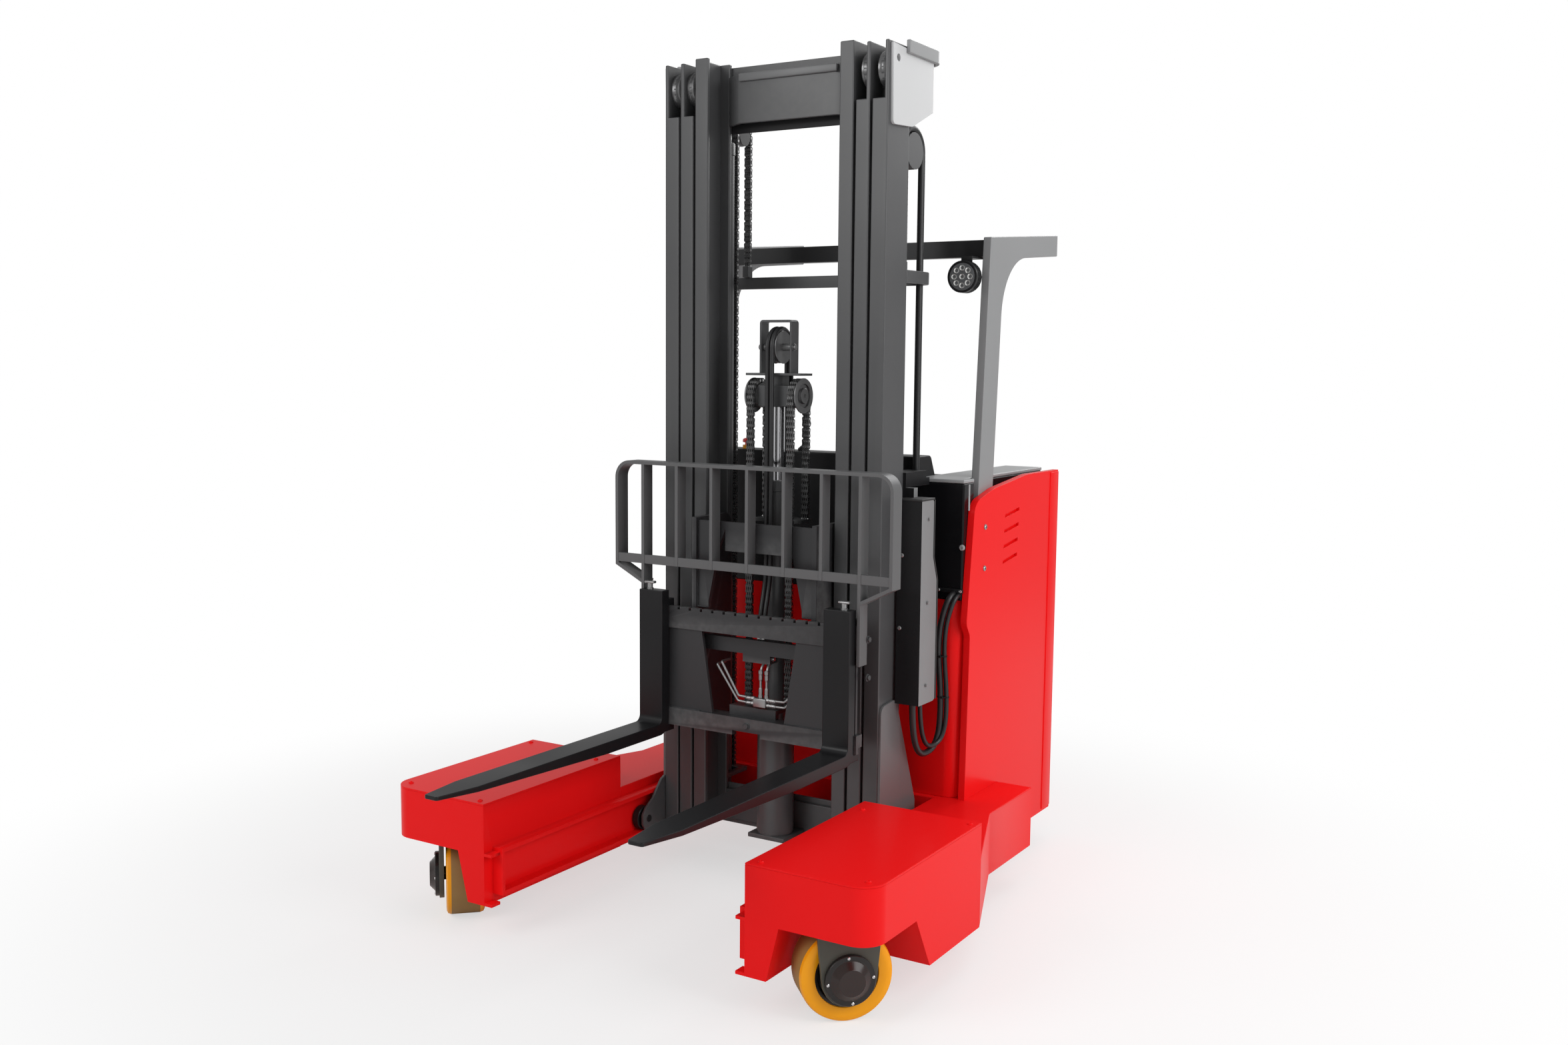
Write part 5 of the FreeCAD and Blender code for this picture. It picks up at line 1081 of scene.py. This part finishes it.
hose_rubber = finish("hose_rubber", (0.014, 0.014, 0.015), (0.34, 0.5), relief=0.0003, scale=300.0, drift=0.3)
for x, name in ((-7, "left"), (11, "right")):
    front = tube("pulley_hose_front_" + name,
                 [at(x, y, z) for y, z in ((850, HOSE_LOW), (850, 880), (850, 925), (852, 970), (868, 1030),
                                           (883, 1090), (FRONT_HOSE_Y, 1150), (FRONT_HOSE_Y, 1240),
                                           (FRONT_HOSE_Y, 1500), (FRONT_HOSE_Y, PULLEY_Z))], HOSE_R, steps=5)
    ring = [k * math.pi / 7 for k in range(15)]
    bend = spun("pulley_hose_bend_" + name,
                [(PULLEY_SEAT / 1000 + HOSE_R * math.cos(a), HOSE_R * math.sin(a)) for a in ring], 48)
    with whole_mesh():
        bpy.ops.mesh.bisect(plane_co=(0, 0, 0), plane_no=(0, 0, 1), clear_inner=True)
    bend.data.transform(Matrix.Translation(at(x, MIDDLE_Y, PULLEY_Z)))
    rear = tube("pulley_hose_rear_" + name, [at(x, REAR_HOSE_Y, z) for z in (HOSE_END, 1500, PULLEY_Z)],
                HOSE_R)
    turned("pulley_hose_end_" + name,
           [(0.0, 0.0), (0.0125, 0.0), (0.0125, 0.012), (0.0098, 0.013), (0.0104, 0.016), (0.0104, 0.044),
            (0.0094, 0.048), (0.0, 0.048)], facing(at(x, 850, HOSE_LOW), UP), bright_steel, "fork_carriage",
           steps=6)
    for piece, move in ((front, hung(PULLEY_Z, HOSE_LOW)), (bend, "free_rod"),
                        (rear, hung(PULLEY_Z, HOSE_END, True))):
        dressed(piece, hose_rubber, move, "pulley_hoses")
arch = [(MAST_HOSE_BEND * math.cos(k * math.pi / 12), MAST_HOSE_BEND * math.sin(k * math.pi / 12))
        for k in range(13)]
hose_line = [at(MAST_HOSE_X, MAST_HOSE_Y - MAST_HOSE_BEND, z) for z in (1470.4, 1700, 2100, 2400)]
hose_line += [at(MAST_HOSE_X, MAST_HOSE_Y - back, MAST_HOSE_TOP + up) for back, up in arch]
hose_line += [at(MAST_HOSE_X, MAST_HOSE_Y + MAST_HOSE_BEND, z) for z in (2400, 2100, 1700, 1445.4)]
dressed(tube("mast_hose_finished", hose_line, MAST_HOSE_R, steps=4), hose_rubber,
        ("mast_outer", "mast_mid", height(1470), height(MAST_HOSE_TOP)), "mast_hose")


# Loop hoses. Two free hoses hang in a loop from the cover on the mast to the electrics box,
# long enough for the mast to reach forward. Thin plastic ties hold them together.
THICK_ROUTE = ((0.490, 0.191, 0.6966), (0.490, 0.193, 0.508), (0.516, 0.329, 0.508), (0.531, 0.335, 0.660),
               (0.506, 0.337, 0.900), (0.546, 0.339, 1.048), (0.546, 0.3826, 1.048))
THIN_ROUTE = ((0.500, 0.227, 0.6966), (0.502, 0.231, 0.532), (0.534, 0.335, 0.532), (0.552, 0.339, 0.660),
              (0.526, 0.341, 0.900), (0.565, 0.343, 1.044), (0.565, 0.3826, 1.044))
THICK_R = 0.011
THIN_R = 0.008
LOOP_TOP = (0.0, 0.337, 1.040)
LOOP_LOW = (0.0, 0.078, 0.867)
LOOP_MOVE = ("chassis", "mast_outer", LOOP_TOP, LOOP_LOW)
TIE_FROM = 0.30
TIE_HEIGHTS = (0.835, 0.694)
TIE_W = 0.0048
TIE_T = 0.0013
TIE_GAP = 0.0006
TIE_STEPS = 32


def centre_line(route):
    """The points of the smooth line that a hose follows."""
    carrier = bpy.data.objects.new("centre_line", smooth_line("centre_line", route, 12))
    points = [tuple(vertex.co) for vertex in bpy.data.meshes.new_from_object(carrier).vertices]
    bpy.data.objects.remove(carrier)
    return points


loop_lines = []
for name, route, radius in (("loop_hose_thick", THICK_ROUTE, THICK_R),
                            ("loop_hose_thin", THIN_ROUTE, THIN_R)):
    line = centre_line(route)
    loop = tube(name, route, radius, sides=6, steps=12)
    dressed(loop, hose_rubber, LOOP_MOVE, "loop_hoses")
    loop_lines.append((line, radius))
for height_of_tie in TIE_HEIGHTS:
    ring = []
    for line, radius in loop_lines:
        rising = [Vector(point) for point in line if point[1] > TIE_FROM]
        ring.append((min(rising, key=lambda point: abs(point.z - height_of_tie)), radius + TIE_GAP))
    (thick, wide), (thin, narrow) = ring
    way = Vector((thin.x - thick.x, thin.y - thick.y, 0)).normalized()
    side_way = Vector((-way.y, way.x, 0))
    belt = []
    for k in range(TIE_STEPS):
        a = 2 * math.pi * (k + 0.5) / TIE_STEPS
        middle, r = (thin, narrow) if math.cos(a) > 0 else (thick, wide)
        belt.append(middle.xy.to_3d() + (way * math.cos(a) + side_way * math.sin(a)) * r)
    levels = [Vector((0, 0, height_of_tie + dz)) for dz in (-TIE_W / 2, TIE_W / 2)]
    mesh = bpy.data.meshes.new("hose_tie")
    mesh.from_pydata([point + level for level in levels for point in belt], [],
                     [(k, (k + 1) % TIE_STEPS, TIE_STEPS + (k + 1) % TIE_STEPS, TIE_STEPS + k)
                      for k in range(TIE_STEPS)])
    tie = placed("hose_tie", mesh)
    only(tie)
    thickened(tie, TIE_T, 1.0)
    lock = (thick + thin) / 2
    x, y, z = lock.x * 1000, lock.y * 1000 + ORIGIN_Y, height_of_tie * 1000
    catch = block("catch", (x - 4, y - 17, z - 3.5), (x + 4, y - 9, z + 3.5), 1)
    only(catch, tie)
    bpy.ops.object.join()
    tie.data.materials.clear()
    tie.data.materials.append(grained_black)
    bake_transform(tie)


# Floor. A plain white sweep: near the truck it takes the soft shadow, and further out it
# passes into the same even white as the studio behind.
NEAR = 1.6
FAR = 3.2
FLOOR_SIZE = 80.0
SHADOW_LIGHTER = 0.6
FLOOR_WHITE = (0.86, 0.86, 0.86, 1.0)
WHITE = (1.0, 1.0, 1.0, 1.0)

bpy.ops.mesh.primitive_plane_add(size=FLOOR_SIZE, location=(0.0, 0.0, 0.0))
floor = bpy.context.object
floor.name = "floor"
paint = bpy.data.materials.new("floor_white")
paint.use_nodes = True
tree = paint.node_tree
dull = fill(tree, tree.nodes["Principled BSDF"],
            {"Base Color": FLOOR_WHITE, "Roughness": 0.9, "Specular IOR Level": 0.1})
glow = new_node(tree, "Emission", {"Color": WHITE, "Strength": 1.0})
where = new_node(tree, "TexCoord")
spread = new_node(tree, "VectorMath", {0: where.outputs["Object"]}, operation="LENGTH")
fade = new_node(tree, "MapRange", {"Value": spread.outputs["Value"], "From Min": NEAR, "From Max": FAR,
                                   "To Min": SHADOW_LIGHTER}, interpolation_type="SMOOTHSTEP")
paths = new_node(tree, "LightPath")
amount = reckon(tree, "MULTIPLY", paths.outputs["Is Camera Ray"], fade.outputs["Result"])
blend_in = new_node(tree, "MixShader", {"Fac": amount, 1: dull.outputs[0], 2: glow.outputs[0]})
fill(tree, tree.nodes["Material Output"], {"Surface": blend_in.outputs[0]})
floor.data.materials.append(paint)


# Lamps and camera. A white studio: even light from all round, a large soft box on the right
# of the truck, a smaller one in front, and the camera where the photographer stood.
WORLD_LIGHT = 0.52
SOFT_BOXES = (("side_box", (5.5, -0.6, 3.6), 3.6, 160.0), ("front_box", (-2.0, -5.5, 4.2), 3.0, 115.0),
              ("rear_box", (0.5, 5.0, 4.5), 3.0, 110.0))
CAMERA_PLACE = (2.671, -4.177, 1.8327)
CAMERA_YAW = 0.55294
CAMERA_PITCH = 0.10847
CAMERA_ROLL = 0.00885
CAMERA_LENS = 33.77
SENSOR_WIDTH = 36.0
LAMPS_AIM = Vector((0.0, 0.0, 1.0))

world = bpy.data.worlds.new("studio")
bpy.context.scene.world = world
world.use_nodes = True
tree = world.node_tree
soft = fill(tree, tree.nodes["Background"], {"Color": WHITE, "Strength": WORLD_LIGHT})
seen = new_node(tree, "Background", {"Color": WHITE, "Strength": 1.0})
paths = new_node(tree, "LightPath")
mixer = new_node(tree, "MixShader", {"Fac": paths.outputs["Is Camera Ray"], 1: soft.outputs[0],
                                     2: seen.outputs[0]})
fill(tree, tree.nodes["World Output"], {"Surface": mixer.outputs[0]})
for name, place, size, power in SOFT_BOXES:
    bpy.ops.object.light_add(type="AREA", location=place)
    lamp = bpy.context.object
    lamp.name = name
    lamp.data.size = size
    lamp.data.energy = power
    aim = LAMPS_AIM - Vector(place)
    lamp.rotation_euler = aim.to_track_quat("-Z", "Y").to_euler()
bpy.ops.object.camera_add(location=CAMERA_PLACE)
camera = bpy.context.object
camera.name = "camera"
turn = (Matrix.Rotation(CAMERA_YAW, 4, "Z") @ Matrix.Rotation(math.pi / 2 - CAMERA_PITCH, 4, "X")
        @ Matrix.Rotation(CAMERA_ROLL, 4, "Z"))
camera.rotation_euler = turn.to_euler()
camera.data.lens = CAMERA_LENS
camera.data.sensor_width = SENSOR_WIDTH
camera.data.sensor_fit = "HORIZONTAL"
bpy.context.scene.camera = camera
bpy.context.scene.view_settings.view_transform = "Standard"
